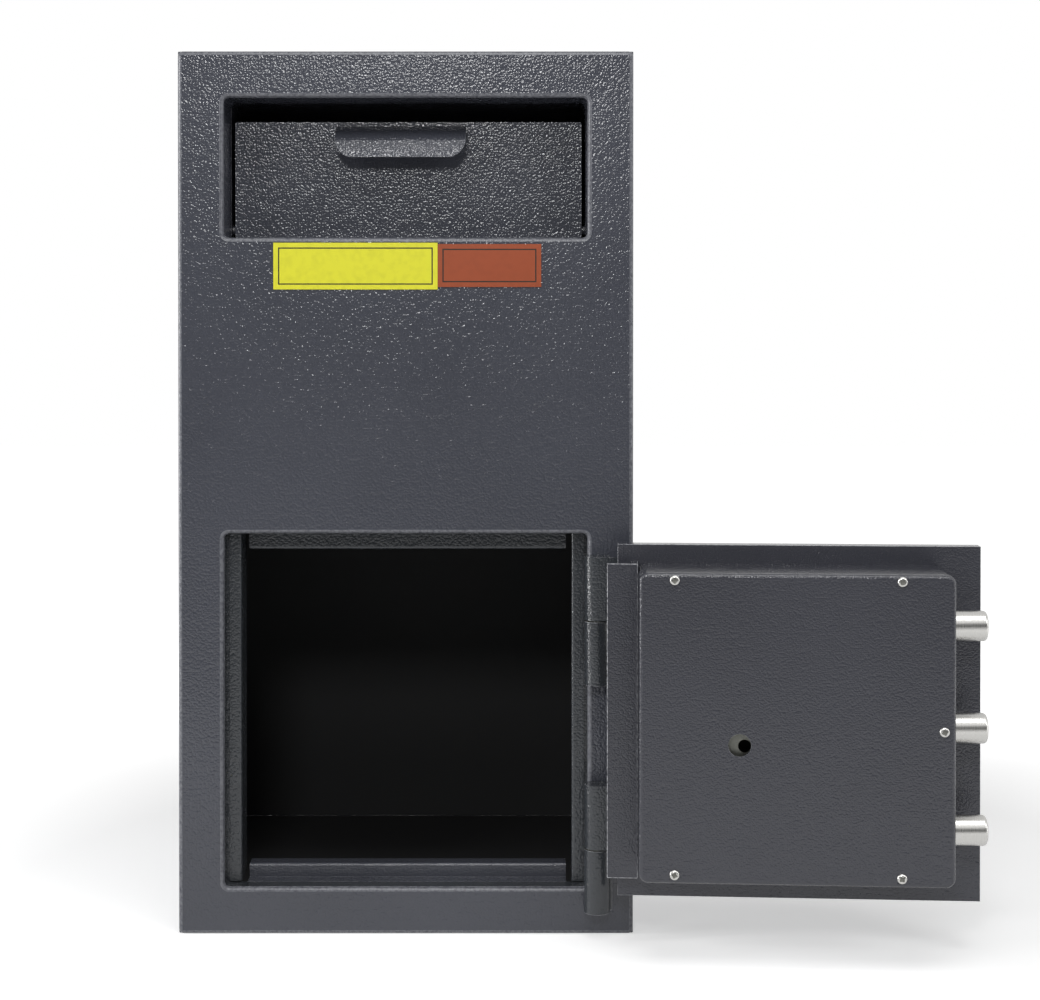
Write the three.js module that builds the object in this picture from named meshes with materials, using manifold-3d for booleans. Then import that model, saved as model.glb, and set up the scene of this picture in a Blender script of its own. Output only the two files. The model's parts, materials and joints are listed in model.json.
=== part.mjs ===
// Drop safe with a tip-out deposit drawer above a hinged door, in millimetres.
// +Z is up and the front faces -Y. The origin is the centre of the cabinet's underside.
// The part is shown with its door open, its bolts thrown and its deposit drawer shut.

import * as THREE from 'three';
import { mergeVertices } from 'three/addons/utils/BufferGeometryUtils.js';
import Module from 'manifold-3d';

const wasm = await Module();
wasm.setup();

// Cabinet
const cabinetWidth = 355.6;
const cabinetDepth = 355.6;
const cabinetHeight = 690;
const bodySheet = 3.5;
const frontEdgeRadius = 3.2;
const frontCornerExtra = 0.8;
const weldGap = 0.1;
const seatGap = 0.3;
const overrun = 5;
const anchorHoleRadius = 7;
const anchorHoleInset = 77.8;

// Openings in the front panel
const openingSideMargin = 35.8;
const openingCornerRadius = 4;
const recessTopMargin = 35.9;
const recessHeight = 109.5;
const recessDepth = 44;
const doorOpeningSill = 36.5;
const doorOpeningHeight = 277;
const surroundDepth = 17;

// Door frame behind the opening
const jambGroove = 2.5;
const jambFaceWidth = 9.5;
const jambStep = 2;
const jambSheet = 3;
const jambLap = 4;
const jambEdgeRadius = 2.5;
const jambReturnEnd = 44;
const jambEndGap = 1;
const stopBarEndGap = 4;
const stopBarReach = 14;
const stopBarSetBack = 13;
const headerDrop = 15.6;
const sillRise = 10.8;

// Plates under the deposit drawer, made to carry no words
const wideLabelWidth = 128;
const wideLabelHeight = 36.4;
const narrowLabelWidth = 80.8;
const narrowLabelHeight = 33.5;
const labelThickness = 0.5;
const labelJoinInset = 117;
const labelTopDrop = 4;
const narrowLabelDrop = 1;

// Deposit drawer that tips out on a rod along its bottom edge
const drawerSetBack = 46;
const drawerFloorGap = 1.5;
const drawerSideGap = 3;
const drawerTopGap = 14.7;
const drawerSheet = 3;
const pivotRodRadius = 4;
const pivotBoreRadius = 4.3;
const pivotTubeRadius = 6;
const pivotRise = 8;
const cheekSheet = 2;
const cheekInset = 1;
const cheekReach = 100;
const traySheet = 2.5;
const trayAngle = THREE.MathUtils.degToRad(-35);
const trayLipDrop = 12;
const drawerHandleWidth = 104;
const drawerHandleOffset = -5.5;
const drawerHandleSheet = 2.5;
const drawerHandleRise = 74.4;
const drawerHandleBend = 7.6;
const drawerHandleDrop = 25.4;
const drawerHandleStand = 24;
const drawerHandleCornerWidth = 19;
const drawerHandleCornerHeight = 16;
const drawerHandleBendShares = [0, 0.16, 0.33, 0.4, 0.47, 0.54, 0.6, 0.67, 0.84, 1];

// Fixed housing round the deposit drawer
const housingSheet = 3;
const housingReach = 112;
const housingDrop = 75;
const baffleRadius = 104;
const baffleEnd = THREE.MathUtils.degToRad(18);
const chuteGap = 8;
const chuteStart = 16;
const chuteEndGap = 4;
const bumperRadius = 6;
const bumperReach = 70;
const bumperInset = 45.7;

// Hinges: two lift-off barrels in front of the panel
const hingeInset = 28.8;
const hingeStandoff = 10.2;
const barrelRadius = 10;
const knuckleLength = 49.2;
const upperHingeZ = 247;
const lowerHingeZ = 70;
const pinRadius = 6;
const pinReach = 34;
const pinCollar = 0.8;
const leafThickness = 4.8;
const leafLength = 46;
const footHalfWidth = 12;
const footDepth = 6;

// Door
const doorOpenAngle = THREE.MathUtils.degToRad(176.5);
const slabThickness = 12.7;
const slabHingeEdge = 16;
const slabLatchGap = 1.5;
const slabEndGap = 4.25;
const deadBarTip = 8;
const deadBarWidth = 23.3;
const deadBarSheet = 5;
const deadBarDepth = 30.5;
const deadBarHeight = 237.7;
const deadBarTopDrop = 12.7;

// Cover over the bolt work
const coverHingeEdge = 31.6;
const coverLatchMargin = 28;
const coverHeight = 228;
const coverTopDrop = 14.2;
const coverDepth = 72.7;
const coverSheet = 2.5;
const coverBend = 3;
const coverCornerRadius = 7;
const coverSlit = 2.6;
const keyHoleRadius = 8.4;
const keyHoleDrop = 125.6;
const screwHeadRadius = 3.75;
const screwHeadHeight = 2;
const screwShankRadius = 2.4;
const screwSocketRadius = 1.9;
const screwSocketDepth = 1.2;
const screwDomeShare = 0.35;
const screwTopDrop = 5.2;
const screwBottomRise = 7;
const screwNearInset = 26.3;
const screwFarInset = 38.8;
const screwEdgeInset = 8.5;
const railSheet = 2.5;
const railWidth = 16.5;
const railEndLap = 10;

// Bolt work behind the cover
const boltRadius = 11.15;
const boltSpacing = 75;
const boltDepth = 56.2;
const boltTipInset = 3.6;
const boltTipRound = 2.5;
const boltTipShare = 0.3;
const boltClearance = 0.5;
const boltSlotClearance = 1.4;
const boltBarInset = 33.5;
const boltBarWidth = 14;
const boltBarThickness = 8;
const boltBarEnd = 9;
const boltTravel = 19;
const guideInset = 17.5;
const guideWidth = 14.5;
const guideSheet = 2;
const guideEnd = 14;

// Handle and its crank
const handleReachShare = 0.667;
const spindleRadius = 8;
const crankThickness = 6;
const crankGap = 3.2;
const crankSwing = THREE.MathUtils.degToRad(21.5);
const crankRadius = boltTravel / (2 * Math.sin(crankSwing));
const crankPinRadius = 4;
const crankHalfWidth = 10;
const crankSlotClearance = 0.6;
const armWidth = 24;
const armInset = 15;
const bushRadius = 20;
const bushHeight = 5;
const leverHubRadius = 15;
const leverHubHeight = 22;
const leverLength = 82;
const leverHeight = 16;
const leverThickness = 9;
const spindleEndShare = 0.333;

// Combination lock
const lockReachShare = 0.32;
const lockZ = 195;
const hardPlateThickness = 6;
const hardPlateMargin = 8;
const mountThickness = 14;
const mountMargin = 6;
const lockWidth = 62;
const lockHeight = 84;
const lockDepth = 29;
const lockWall = 2;
const lockRise = 34;
const lockCoverThickness = 2;
const changeHoleRadius = 4.8;
const changeHoleShiftX = 4;
const changeHoleShiftZ = 2;
const lockBoltWidth = 10;
const lockBoltThickness = 8;
const lockBoltLength = 57;
const lockBoltProud = 4;
const lockBoltClearance = 0.4;
const notchClearance = 0.5;
const notchDepth = 8;
const notchGap = 3;
const blockHeight = 16;
const blockEnd = 9;
const dialSpindleRadius = 4;
const dialSpindleClearance = 1.5;
const dialRadius = 33;
const dialThickness = 4;
const dialBevel = 3;
const dialKnobRadius = 13;
const dialKnobHeight = 23;
const dialRingWidth = 4.2;
const dialRingHeight = 5.5;
const dialRingGap = 1;
const camRadius = 16;
const camThickness = 6;
const camBoreClearance = 0.3;

// Values worked out from the sizes above
const halfWidth = cabinetWidth / 2;
const frontY = -cabinetDepth / 2;
const backY = cabinetDepth / 2;
const panelBackY = frontY + bodySheet;
const sideInnerX = halfWidth - bodySheet;
const openingHalf = halfWidth - openingSideMargin;
const recessTopZ = cabinetHeight - recessTopMargin;
const recessFloorZ = recessTopZ - recessHeight;
const doorOpeningTop = doorOpeningSill + doorOpeningHeight;
const hingeAxisX = halfWidth - hingeInset;
const jambOuterX = openingHalf - jambGroove;
const jambInnerX = jambOuterX - jambFaceWidth;

const roundSteps = 24;
const cornerSteps = 4;

const paintGrey = { color: 0x4b4c54, roughness: 0.55, metalness: 0.2 };
const darkGrey = { color: 0x3a3b41, roughness: 0.6, metalness: 0.2 };
const zinc = { color: 0xb9bcc0, roughness: 0.35, metalness: 0.9 };
const brightSteel = { color: 0xc9cacb, roughness: 0.25, metalness: 1 };
const satinChrome = { color: 0xb8babd, roughness: 0.3, metalness: 1 };
const blackEnamel = { color: 0x17181a, roughness: 0.4, metalness: 0.3 };
const rubber = { color: 0x1b1b1d, roughness: 0.9, metalness: 0 };
const yellowSheet = { color: 0xdcd93f, roughness: 0.5, metalness: 0 };
const brownSheet = { color: 0xa04a28, roughness: 0.5, metalness: 0 };

// Keeps positions only, welds shared corners, drops empty faces and turns the faces outward
function closed(geometry) {
  const bare = new THREE.BufferGeometry();
  bare.setAttribute('position', geometry.getAttribute('position'));
  if (geometry.index) bare.setIndex(geometry.index);
  const welded = mergeVertices(bare, 1e-4);
  const spots = welded.getAttribute('position');
  const faces = [];
  let volume = 0;
  const corners = [new THREE.Vector3(), new THREE.Vector3(), new THREE.Vector3()];
  for (let i = 0; i < welded.index.count; i += 3) {
    const face = [0, 1, 2].map((k) => welded.index.getX(i + k));
    if (face[0] === face[1] || face[1] === face[2] || face[2] === face[0]) continue;
    face.forEach((corner, k) => corners[k].fromBufferAttribute(spots, corner));
    volume += corners[0].dot(corners[1].clone().cross(corners[2]));
    faces.push(face);
  }
  if (volume < 0) faces.forEach((face) => face.reverse());
  welded.setIndex(faces.flat());
  return welded;
}

function toSolid(geometry) {
  const shell = closed(geometry);
  return new wasm.Manifold(new wasm.Mesh({
    numProp: 3,
    vertProperties: new Float32Array(shell.getAttribute('position').array),
    triVerts: new Uint32Array(shell.index.array),
  }));
}

function fromSolid(solid) {
  const mesh = solid.getMesh();
  const geometry = new THREE.BufferGeometry();
  geometry.setAttribute('position', new THREE.BufferAttribute(mesh.vertProperties, 3));
  geometry.setIndex(new THREE.BufferAttribute(mesh.triVerts, 1));
  return geometry;
}

// Joins the first list of shapes and cuts the second list out of it
function combine(joined, cut = []) {
  let solid = toSolid(joined[0]);
  joined.slice(1).forEach((geometry) => { solid = solid.add(toSolid(geometry)); });
  cut.forEach((geometry) => { solid = solid.subtract(toSolid(geometry)); });
  return fromSolid(solid);
}

function common(first, second) {
  return fromSolid(toSolid(first).intersect(toSolid(second)));
}

function box(x0, x1, y0, y1, z0, z1) {
  const geometry = new THREE.BoxGeometry(Math.abs(x1 - x0), Math.abs(y1 - y0), Math.abs(z1 - z0));
  return geometry.translate((x0 + x1) / 2, (y0 + y1) / 2, (z0 + z1) / 2);
}

function outline(points) {
  return new THREE.Shape(points.map(([x, y]) => new THREE.Vector2(x, y)));
}

function roundedRect(x0, x1, y0, y1, radius) {
  const shape = new THREE.Shape();
  shape.absarc(x1 - radius, y0 + radius, radius, -Math.PI / 2, 0);
  shape.absarc(x1 - radius, y1 - radius, radius, 0, Math.PI / 2);
  shape.absarc(x0 + radius, y1 - radius, radius, Math.PI / 2, Math.PI);
  shape.absarc(x0 + radius, y0 + radius, radius, Math.PI, 1.5 * Math.PI);
  shape.closePath();
  return shape;
}

function circlePath(x, y, radius) {
  return new THREE.Path().absarc(x, y, radius, 0, 2 * Math.PI);
}

const frontView = new THREE.Matrix4().makeBasis(
  new THREE.Vector3(1, 0, 0), new THREE.Vector3(0, 0, 1), new THREE.Vector3(0, -1, 0));
const sideView = new THREE.Matrix4().makeBasis(
  new THREE.Vector3(0, 1, 0), new THREE.Vector3(0, 0, 1), new THREE.Vector3(1, 0, 0));

// A shape drawn in X and Z, with its thickness between two values of Y
function plateY(shape, y0, y1, steps = cornerSteps) {
  const geometry = new THREE.ExtrudeGeometry(shape, {
    depth: y1 - y0, bevelEnabled: false, curveSegments: steps,
  });
  return geometry.applyMatrix4(frontView).translate(0, y1, 0);
}

// A shape drawn in Y and Z, running along X
function barX(shape, x0, x1, steps = cornerSteps) {
  const geometry = new THREE.ExtrudeGeometry(shape, {
    depth: x1 - x0, bevelEnabled: false, curveSegments: steps,
  });
  return geometry.applyMatrix4(sideView).translate(x0, 0, 0);
}

// A shape drawn in X and Y, running along Z
function barZ(shape, z0, z1, steps = cornerSteps) {
  const geometry = new THREE.ExtrudeGeometry(shape, {
    depth: z1 - z0, bevelEnabled: false, curveSegments: steps,
  });
  return geometry.translate(0, 0, z0);
}

// A plate in X and Z whose edges are rounded on both faces, past y0 and y1 by nothing
function roundedPlateY(shape, y0, y1, radius) {
  const geometry = new THREE.ExtrudeGeometry(shape, {
    depth: y1 - y0 - 2 * radius, curveSegments: cornerSteps, bevelEnabled: true,
    bevelThickness: radius, bevelSize: radius, bevelOffset: -radius, bevelSegments: 3,
  });
  return geometry.applyMatrix4(frontView).translate(0, y1 - radius, 0);
}

// Round pieces: a profile of radius and height turned about the Y, X or Z axis
function turnedY(profile, steps = roundSteps) {
  const points = profile.map(([radius, along]) => new THREE.Vector2(radius, along));
  return new THREE.LatheGeometry(points, steps);
}

function turnedX(profile, steps = roundSteps) {
  return turnedY(profile, steps).rotateZ(-Math.PI / 2);
}

function turnedZ(profile, steps = roundSteps) {
  return turnedY(profile, steps).rotateX(Math.PI / 2);
}

function rod(radius, from, to) {
  return [[0, from], [radius, from], [radius, to], [0, to]];
}

function tube(inner, outer, from, to) {
  return [[inner, from], [outer, from], [outer, to], [inner, to], [inner, from]];
}

function add(group, name, geometry, finish) {
  const mesh = new THREE.Mesh(closed(geometry), new THREE.MeshStandardMaterial(finish));
  mesh.name = name;
  group.add(mesh);
  return mesh;
}

// Cabinet shell: flat plates welded edge to edge behind a front panel with rounded edges
function addCabinet(group) {
  const innerBack = backY - bodySheet;
  const plateFront = panelBackY + weldGap;
  for (const [name, side] of [['side_plate_left', -1], ['side_plate_right', 1]]) {
    add(group, name,
      box(side * sideInnerX, side * halfWidth, plateFront, backY, 0, cabinetHeight), paintGrey);
  }
  const between = sideInnerX - weldGap;
  add(group, 'top_plate',
    box(-between, between, plateFront, backY, cabinetHeight - bodySheet, cabinetHeight), paintGrey);
  const anchorHoleX = halfWidth - anchorHoleInset;
  const anchorHoles = [-anchorHoleX, anchorHoleX].map((x) => turnedZ(
    rod(anchorHoleRadius, -overrun, bodySheet + overrun)).translate(x, 0, 0));
  add(group, 'floor_plate',
    combine([box(-between, between, plateFront, backY, 0, bodySheet)], anchorHoles), paintGrey);
  add(group, 'back_plate', box(-between, between, innerBack, backY,
    bodySheet + weldGap, cabinetHeight - bodySheet - weldGap), paintGrey);

  const face = roundedRect(-halfWidth, halfWidth, 0, cabinetHeight,
    frontEdgeRadius + frontCornerExtra);
  face.holes.push(roundedRect(-openingHalf, openingHalf, recessFloorZ, recessTopZ,
    openingCornerRadius));
  face.holes.push(roundedRect(-openingHalf, openingHalf, doorOpeningSill, doorOpeningTop,
    openingCornerRadius));
  const thick = roundedPlateY(face, frontY, frontY + 2 * bodySheet + 2 * frontEdgeRadius,
    frontEdgeRadius);
  const keep = box(-cabinetWidth, cabinetWidth, frontY - overrun, panelBackY,
    -overrun, cabinetHeight + overrun);
  add(group, 'front_panel', common(thick, keep), paintGrey);
}

// A welded ring that carries an opening's edge back into the cabinet
function openingRing(z0, z1, depth) {
  const grown = roundedRect(-openingHalf - bodySheet, openingHalf + bodySheet,
    z0 - bodySheet, z1 + bodySheet, openingCornerRadius + bodySheet);
  grown.holes.push(roundedRect(-openingHalf, openingHalf, z0, z1, openingCornerRadius));
  return plateY(grown, panelBackY + weldGap, frontY + depth);
}

function addOpeningRings(group) {
  add(group, 'recess_liner', openingRing(recessFloorZ, recessTopZ, recessDepth), paintGrey);
  add(group, 'door_surround', openingRing(doorOpeningSill, doorOpeningTop, surroundDepth),
    paintGrey);
}

// Bent jambs beside the door opening: a weld lap, a step, a face and, on the latch side, a return
function addJambs(group) {
  const lapY = frontY + surroundDepth + weldGap;
  const faceY = lapY - jambStep;
  const z0 = doorOpeningSill + jambEndGap;
  const z1 = doorOpeningTop - jambEndGap;
  const lapX = openingHalf + jambLap;
  const rear = lapY + jambSheet;
  const edge = jambInnerX + jambEdgeRadius;

  const latch = new THREE.Shape();
  latch.moveTo(-lapX, lapY);
  latch.lineTo(-jambOuterX, lapY);
  latch.lineTo(-jambOuterX, faceY);
  latch.absarc(-edge, faceY + jambEdgeRadius, jambEdgeRadius, -Math.PI / 2, 0);
  latch.lineTo(-jambInnerX, frontY + jambReturnEnd);
  latch.lineTo(-jambInnerX - jambSheet, frontY + jambReturnEnd);
  latch.lineTo(-jambInnerX - jambSheet, rear);
  latch.lineTo(-lapX, rear);
  latch.closePath();
  add(group, 'jamb_latch', barZ(latch, z0, z1), paintGrey);

  const hinge = new THREE.Shape();
  hinge.moveTo(lapX, lapY);
  hinge.lineTo(lapX, rear);
  hinge.lineTo(jambOuterX, rear);
  hinge.lineTo(jambOuterX, faceY + jambSheet);
  hinge.lineTo(jambInnerX, faceY + jambSheet);
  hinge.absarc(edge, faceY + jambEdgeRadius, jambEdgeRadius, Math.PI, 1.5 * Math.PI);
  hinge.lineTo(jambOuterX, faceY);
  hinge.lineTo(jambOuterX, lapY);
  hinge.closePath();
  add(group, 'jamb_hinge', barZ(hinge, z0, z1), paintGrey);
}

// Stop bars above and below the door: a ledge behind the surround, then a face with a rounded lip
function stopBarShape(edgeZ, lipZ) {
  const toward = Math.sign(lipZ - edgeZ);
  const ledgeY = frontY + surroundDepth + weldGap;
  const faceY = ledgeY + stopBarSetBack;
  const backLeg = faceY + jambSheet;
  const tipY = faceY + stopBarReach;
  const outerZ = edgeZ - toward * jambSheet;
  const shape = new THREE.Shape();
  shape.moveTo(ledgeY, edgeZ);
  shape.lineTo(faceY, edgeZ);
  shape.lineTo(faceY, lipZ - toward * jambEdgeRadius);
  shape.absarc(faceY + jambEdgeRadius, lipZ - toward * jambEdgeRadius, jambEdgeRadius,
    Math.PI, toward > 0 ? Math.PI / 2 : 1.5 * Math.PI, toward > 0);
  shape.lineTo(tipY, lipZ);
  shape.lineTo(tipY, lipZ - toward * jambSheet);
  shape.lineTo(backLeg, lipZ - toward * jambSheet);
  shape.lineTo(backLeg, outerZ);
  shape.lineTo(ledgeY, outerZ);
  shape.closePath();
  return shape;
}

function addStopBars(group) {
  const half = jambInnerX - stopBarEndGap;
  add(group, 'header_bar',
    barX(stopBarShape(doorOpeningTop, doorOpeningTop - headerDrop), -half, half), paintGrey);
  add(group, 'sill_bar',
    barX(stopBarShape(doorOpeningSill, doorOpeningSill + sillRise), -half, half), paintGrey);
}

function addLabels(group) {
  const y1 = frontY - weldGap;
  const y0 = y1 - labelThickness;
  const top = recessFloorZ - labelTopDrop;
  const narrowTop = top - narrowLabelDrop;
  const joinX = openingHalf - labelJoinInset;
  add(group, 'label_wide', box(joinX - wideLabelWidth, joinX, y0, y1,
    top - wideLabelHeight, top), yellowSheet);
  add(group, 'label_narrow', box(joinX + weldGap, joinX + narrowLabelWidth, y0, y1,
    narrowTop - narrowLabelHeight, narrowTop), brownSheet);
}

// Deposit drawer, drawn about its pivot rod
const pivotY = frontY + drawerSetBack + drawerSheet + seatGap + pivotTubeRadius;
const pivotZ = recessFloorZ + pivotRise;
const drawerPanelBack = -pivotTubeRadius - seatGap;
const drawerPanelFront = drawerPanelBack - drawerSheet;
const drawerPanelHalf = openingHalf - drawerSideGap;
const drawerPanelTop = recessTopZ - drawerTopGap - pivotZ;
const drawerPanelBottom = drawerFloorGap - pivotRise;
const cheekOuterX = drawerPanelHalf - cheekInset;
const trayHalf = cheekOuterX - cheekSheet - seatGap;
const housingInnerX = openingHalf;

function addDrawerHandle(drawer) {
  const rootY = drawerPanelFront - seatGap;
  const half = drawerHandleSheet / 2;
  const kneeZ = drawerHandleRise;
  const spine = new THREE.CurvePath();
  const root = new THREE.Vector2(rootY, kneeZ + drawerHandleBend);
  const knee = new THREE.Vector2(rootY - drawerHandleStand + drawerHandleSheet, kneeZ);
  const tip = new THREE.Vector2(rootY - drawerHandleStand, kneeZ + drawerHandleBend - drawerHandleDrop);
  spine.add(new THREE.LineCurve(root, root.clone().lerp(knee, 0.5)));
  spine.add(new THREE.QuadraticBezierCurve(root.clone().lerp(knee, 0.5), knee,
    knee.clone().lerp(tip, 0.5)));
  spine.add(new THREE.LineCurve(knee.clone().lerp(tip, 0.5), tip));
  const near = [];
  const far = [];
  for (const share of drawerHandleBendShares) {
    const spot = spine.getPoint(share);
    const along = spine.getTangent(share);
    near.push([spot.x - along.y * half, spot.y + along.x * half]);
    far.unshift([spot.x + along.y * half, spot.y - along.x * half]);
  }
  const sheet = barX(outline([...near, ...far]), -drawerHandleWidth, drawerHandleWidth);

  const halfW = drawerHandleWidth / 2;
  const low = tip.y - half;
  const front = new THREE.Shape();
  front.moveTo(halfW, kneeZ + drawerHandleDrop);
  front.lineTo(-halfW, kneeZ + drawerHandleDrop);
  front.absellipse(-halfW + drawerHandleCornerWidth, low + drawerHandleCornerHeight,
    drawerHandleCornerWidth, drawerHandleCornerHeight, Math.PI, 1.5 * Math.PI);
  front.absellipse(halfW - drawerHandleCornerWidth, low + drawerHandleCornerHeight,
    drawerHandleCornerWidth, drawerHandleCornerHeight, 1.5 * Math.PI, 2 * Math.PI);
  front.closePath();
  const reach = drawerHandleStand + overrun;
  const cutter = plateY(front, rootY - reach, rootY, 2 * cornerSteps);
  add(drawer, 'drawer_handle',
    common(sheet, cutter).translate(drawerHandleOffset, 0, 0), paintGrey);
}

function addDrawer(group) {
  const drawer = new THREE.Group();
  drawer.position.set(0, pivotY, pivotZ);
  group.add(drawer);

  add(drawer, 'drawer_front', plateY(roundedRect(-drawerPanelHalf, drawerPanelHalf,
    drawerPanelBottom, drawerPanelTop, cheekSheet), drawerPanelFront, drawerPanelBack), paintGrey);
  addDrawerHandle(drawer);

  const cheekBack = drawerPanelBack + seatGap;
  const topZ = drawerPanelTop - cheekInset;
  const topAngle = Math.asin(topZ / cheekReach);
  const cheek = new THREE.Shape();
  cheek.moveTo(cheekBack, topZ);
  cheek.lineTo(cheekBack, -pivotTubeRadius);
  cheek.lineTo(0, -pivotTubeRadius - traySheet);
  cheek.absarc(0, 0, cheekReach, trayAngle, topAngle);
  cheek.closePath();
  cheek.holes.push(circlePath(0, 0, pivotBoreRadius));
  for (const [name, side] of [['drawer_cheek_left', -1], ['drawer_cheek_right', 1]]) {
    const x0 = Math.min(side * cheekOuterX, side * (cheekOuterX - cheekSheet));
    add(drawer, name, barX(cheek, x0, x0 + cheekSheet, 2 * cornerSteps), darkGrey);
  }

  const tray = new THREE.Group();
  tray.rotation.x = trayAngle;
  drawer.add(tray);
  const trayStart = pivotTubeRadius + 2 * seatGap;
  add(tray, 'drawer_tray', barX(outline([
    [trayStart, 0], [trayStart, -traySheet], [cheekReach - traySheet, -traySheet],
    [cheekReach - traySheet, -trayLipDrop], [cheekReach, -trayLipDrop], [cheekReach, 0],
  ]), -trayHalf, trayHalf), darkGrey);

  add(drawer, 'drawer_pivot_tube',
    turnedX(tube(pivotBoreRadius, pivotTubeRadius, -trayHalf, trayHalf)), darkGrey);
}

// Fixed housing: two hanging sides, the curved baffle, the chute and the rubber stops
function addHousing(group) {
  const housing = new THREE.Group();
  housing.position.set(0, pivotY, pivotZ);
  group.add(housing);

  const nearY = frontY + recessDepth + weldGap - pivotY;
  const topZ = cabinetHeight - bodySheet - weldGap - pivotZ;
  const side = outline([
    [nearY, -pivotRise], [chuteStart, -housingDrop], [housingReach, -housingDrop],
    [housingReach, topZ], [nearY, topZ],
  ]);
  side.holes.push(circlePath(0, 0, pivotBoreRadius));
  for (const [name, sign] of [['housing_side_left', -1], ['housing_side_right', 1]]) {
    const x0 = Math.min(sign * housingInnerX, sign * (housingInnerX + housingSheet));
    add(housing, name, barX(side, x0, x0 + housingSheet), darkGrey);
  }

  const baffleOuter = baffleRadius + housingSheet;
  const baffle = new THREE.Shape();
  baffle.moveTo(nearY, baffleRadius);
  baffle.lineTo(0, baffleRadius);
  baffle.absarc(0, 0, baffleRadius, Math.PI / 2, baffleEnd, true);
  baffle.absarc(0, 0, baffleOuter, baffleEnd, Math.PI / 2);
  baffle.lineTo(nearY, baffleOuter);
  baffle.closePath();
  const width = housingInnerX - weldGap;
  add(housing, 'curved_baffle', barX(baffle, -width, width, 3 * cornerSteps), darkGrey);

  add(housing, 'drawer_pivot_rod',
    turnedX(rod(pivotRodRadius, -housingInnerX - housingSheet, housingInnerX + housingSheet)),
    darkGrey);

  const slope = new THREE.Group();
  slope.rotation.x = trayAngle;
  housing.add(slope);
  const chuteTop = -traySheet - chuteGap;
  add(slope, 'chute_plate', box(-width + seatGap, width - seatGap, chuteStart,
    cheekReach - traySheet - chuteEndGap, chuteTop - traySheet, chuteTop), darkGrey);
  for (const [name, sign] of [['drawer_stop_left', -1], ['drawer_stop_right', 1]]) {
    const pad = turnedZ(rod(bumperRadius, chuteTop + seatGap, -traySheet - seatGap))
      .translate(sign * (trayHalf - bumperInset), bumperReach, 0);
    add(slope, name, pad, rubber);
  }
}

// Cabinet halves of the hinges, each with its fixed pin and bearing collar
function addHingePosts(group) {
  const axisY = frontY - hingeStandoff;
  for (const [which, z] of [['upper', upperHingeZ], ['lower', lowerHingeZ]]) {
    const post = new THREE.Group();
    post.position.set(hingeAxisX, axisY, z);
    group.add(post);
    const foot = box(-footHalfWidth / 2, footHalfWidth, barrelRadius - footDepth,
      hingeStandoff - weldGap, -knuckleLength, 0);
    add(post, `hinge_post_${which}`, combine(
      [turnedZ(rod(barrelRadius, -knuckleLength, 0)), foot],
      [turnedZ(rod(pinRadius + weldGap, -pinReach - weldGap, overrun))]), paintGrey);
    const pin = combine([
      turnedZ(rod(pinRadius, -pinReach, pinReach)),
      turnedZ(rod(barrelRadius, weldGap, weldGap + pinCollar)),
    ]);
    add(post, `hinge_pin_${which}`, pin, zinc);
  }
}

// The door is drawn shut, about the hinge axis, with -X toward its latch edge
const slabLatchEdge = hingeAxisX + openingHalf - slabLatchGap;
const slabBottom = doorOpeningSill + slabEndGap;
const slabTop = doorOpeningTop - slabEndGap;
const slabInner = hingeStandoff + slabThickness;
const onSlab = slabInner + seatGap;
const coverFace = hingeStandoff + coverDepth;
const coverInside = coverFace - coverSheet;
const coverLatchEdge = slabLatchEdge - coverLatchMargin;
const coverWidth = coverLatchEdge - coverHingeEdge;
const coverTop = slabTop - coverTopDrop;
const coverBottom = coverTop - coverHeight;
const boltZ = (coverTop + coverBottom) / 2;
const boltY = hingeStandoff + boltDepth;
const barFront = boltY - boltBarThickness / 2;
const lockFront = onSlab + hardPlateThickness + seatGap + mountThickness + seatGap;
const lockBottom = lockZ + lockRise - lockHeight;
const lockTop = lockZ + lockRise;
const boltTip = slabLatchEdge - boltTipInset;
const boltBarReach = coverLatchEdge - boltBarInset;
const guideReach = coverLatchEdge - guideInset;
const lockReach = coverHingeEdge + lockReachShare * coverWidth;
const handleReach = coverHingeEdge + handleReachShare * coverWidth;
const armReach = handleReach - armInset;
const screwNearReach = coverHingeEdge + screwNearInset;
const screwFarReach = coverLatchEdge - screwFarInset;
const boltHeights = [['upper', 1], ['middle', 0], ['lower', -1]];

const screwSpots = [
  ['top_near', screwNearReach, coverTop - screwTopDrop],
  ['top_far', screwFarReach, coverTop - screwTopDrop],
  ['edge', coverLatchEdge - screwEdgeInset, boltZ],
  ['bottom_near', screwNearReach, coverBottom + screwBottomRise],
  ['bottom_far', screwFarReach, coverBottom + screwBottomRise],
];

function holeY(reach, z, radius, y0, y1) {
  return turnedY(rod(radius, y0, y1)).translate(-reach, 0, z);
}

function addSlab(door) {
  const face = outline([
    [-slabLatchEdge, slabBottom], [-slabHingeEdge, slabBottom],
    [-slabHingeEdge, slabTop], [-slabLatchEdge, slabTop],
  ]);
  face.holes.push(circlePath(-lockReach, lockZ, dialSpindleRadius + dialSpindleClearance));
  face.holes.push(circlePath(-handleReach, boltZ, spindleRadius + seatGap));
  add(door, 'door_slab', plateY(face, hingeStandoff, slabInner, roundSteps / 2), paintGrey);
}

function addHingeLeaves(door) {
  for (const [which, z] of [['upper', upperHingeZ], ['lower', lowerHingeZ]]) {
    const base = z + pinCollar + weldGap + seatGap;
    const leafBack = hingeStandoff - seatGap;
    const barrel = turnedZ(rod(barrelRadius, base, base + knuckleLength));
    const strap = box(-leafLength, 0, leafBack - leafThickness, leafBack,
      base, base + knuckleLength);
    const bore = turnedZ(rod(pinRadius + seatGap, base - overrun, z + pinReach + seatGap));
    add(door, `hinge_leaf_${which}`, combine([barrel, strap], [bore]), paintGrey);
  }
}

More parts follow.
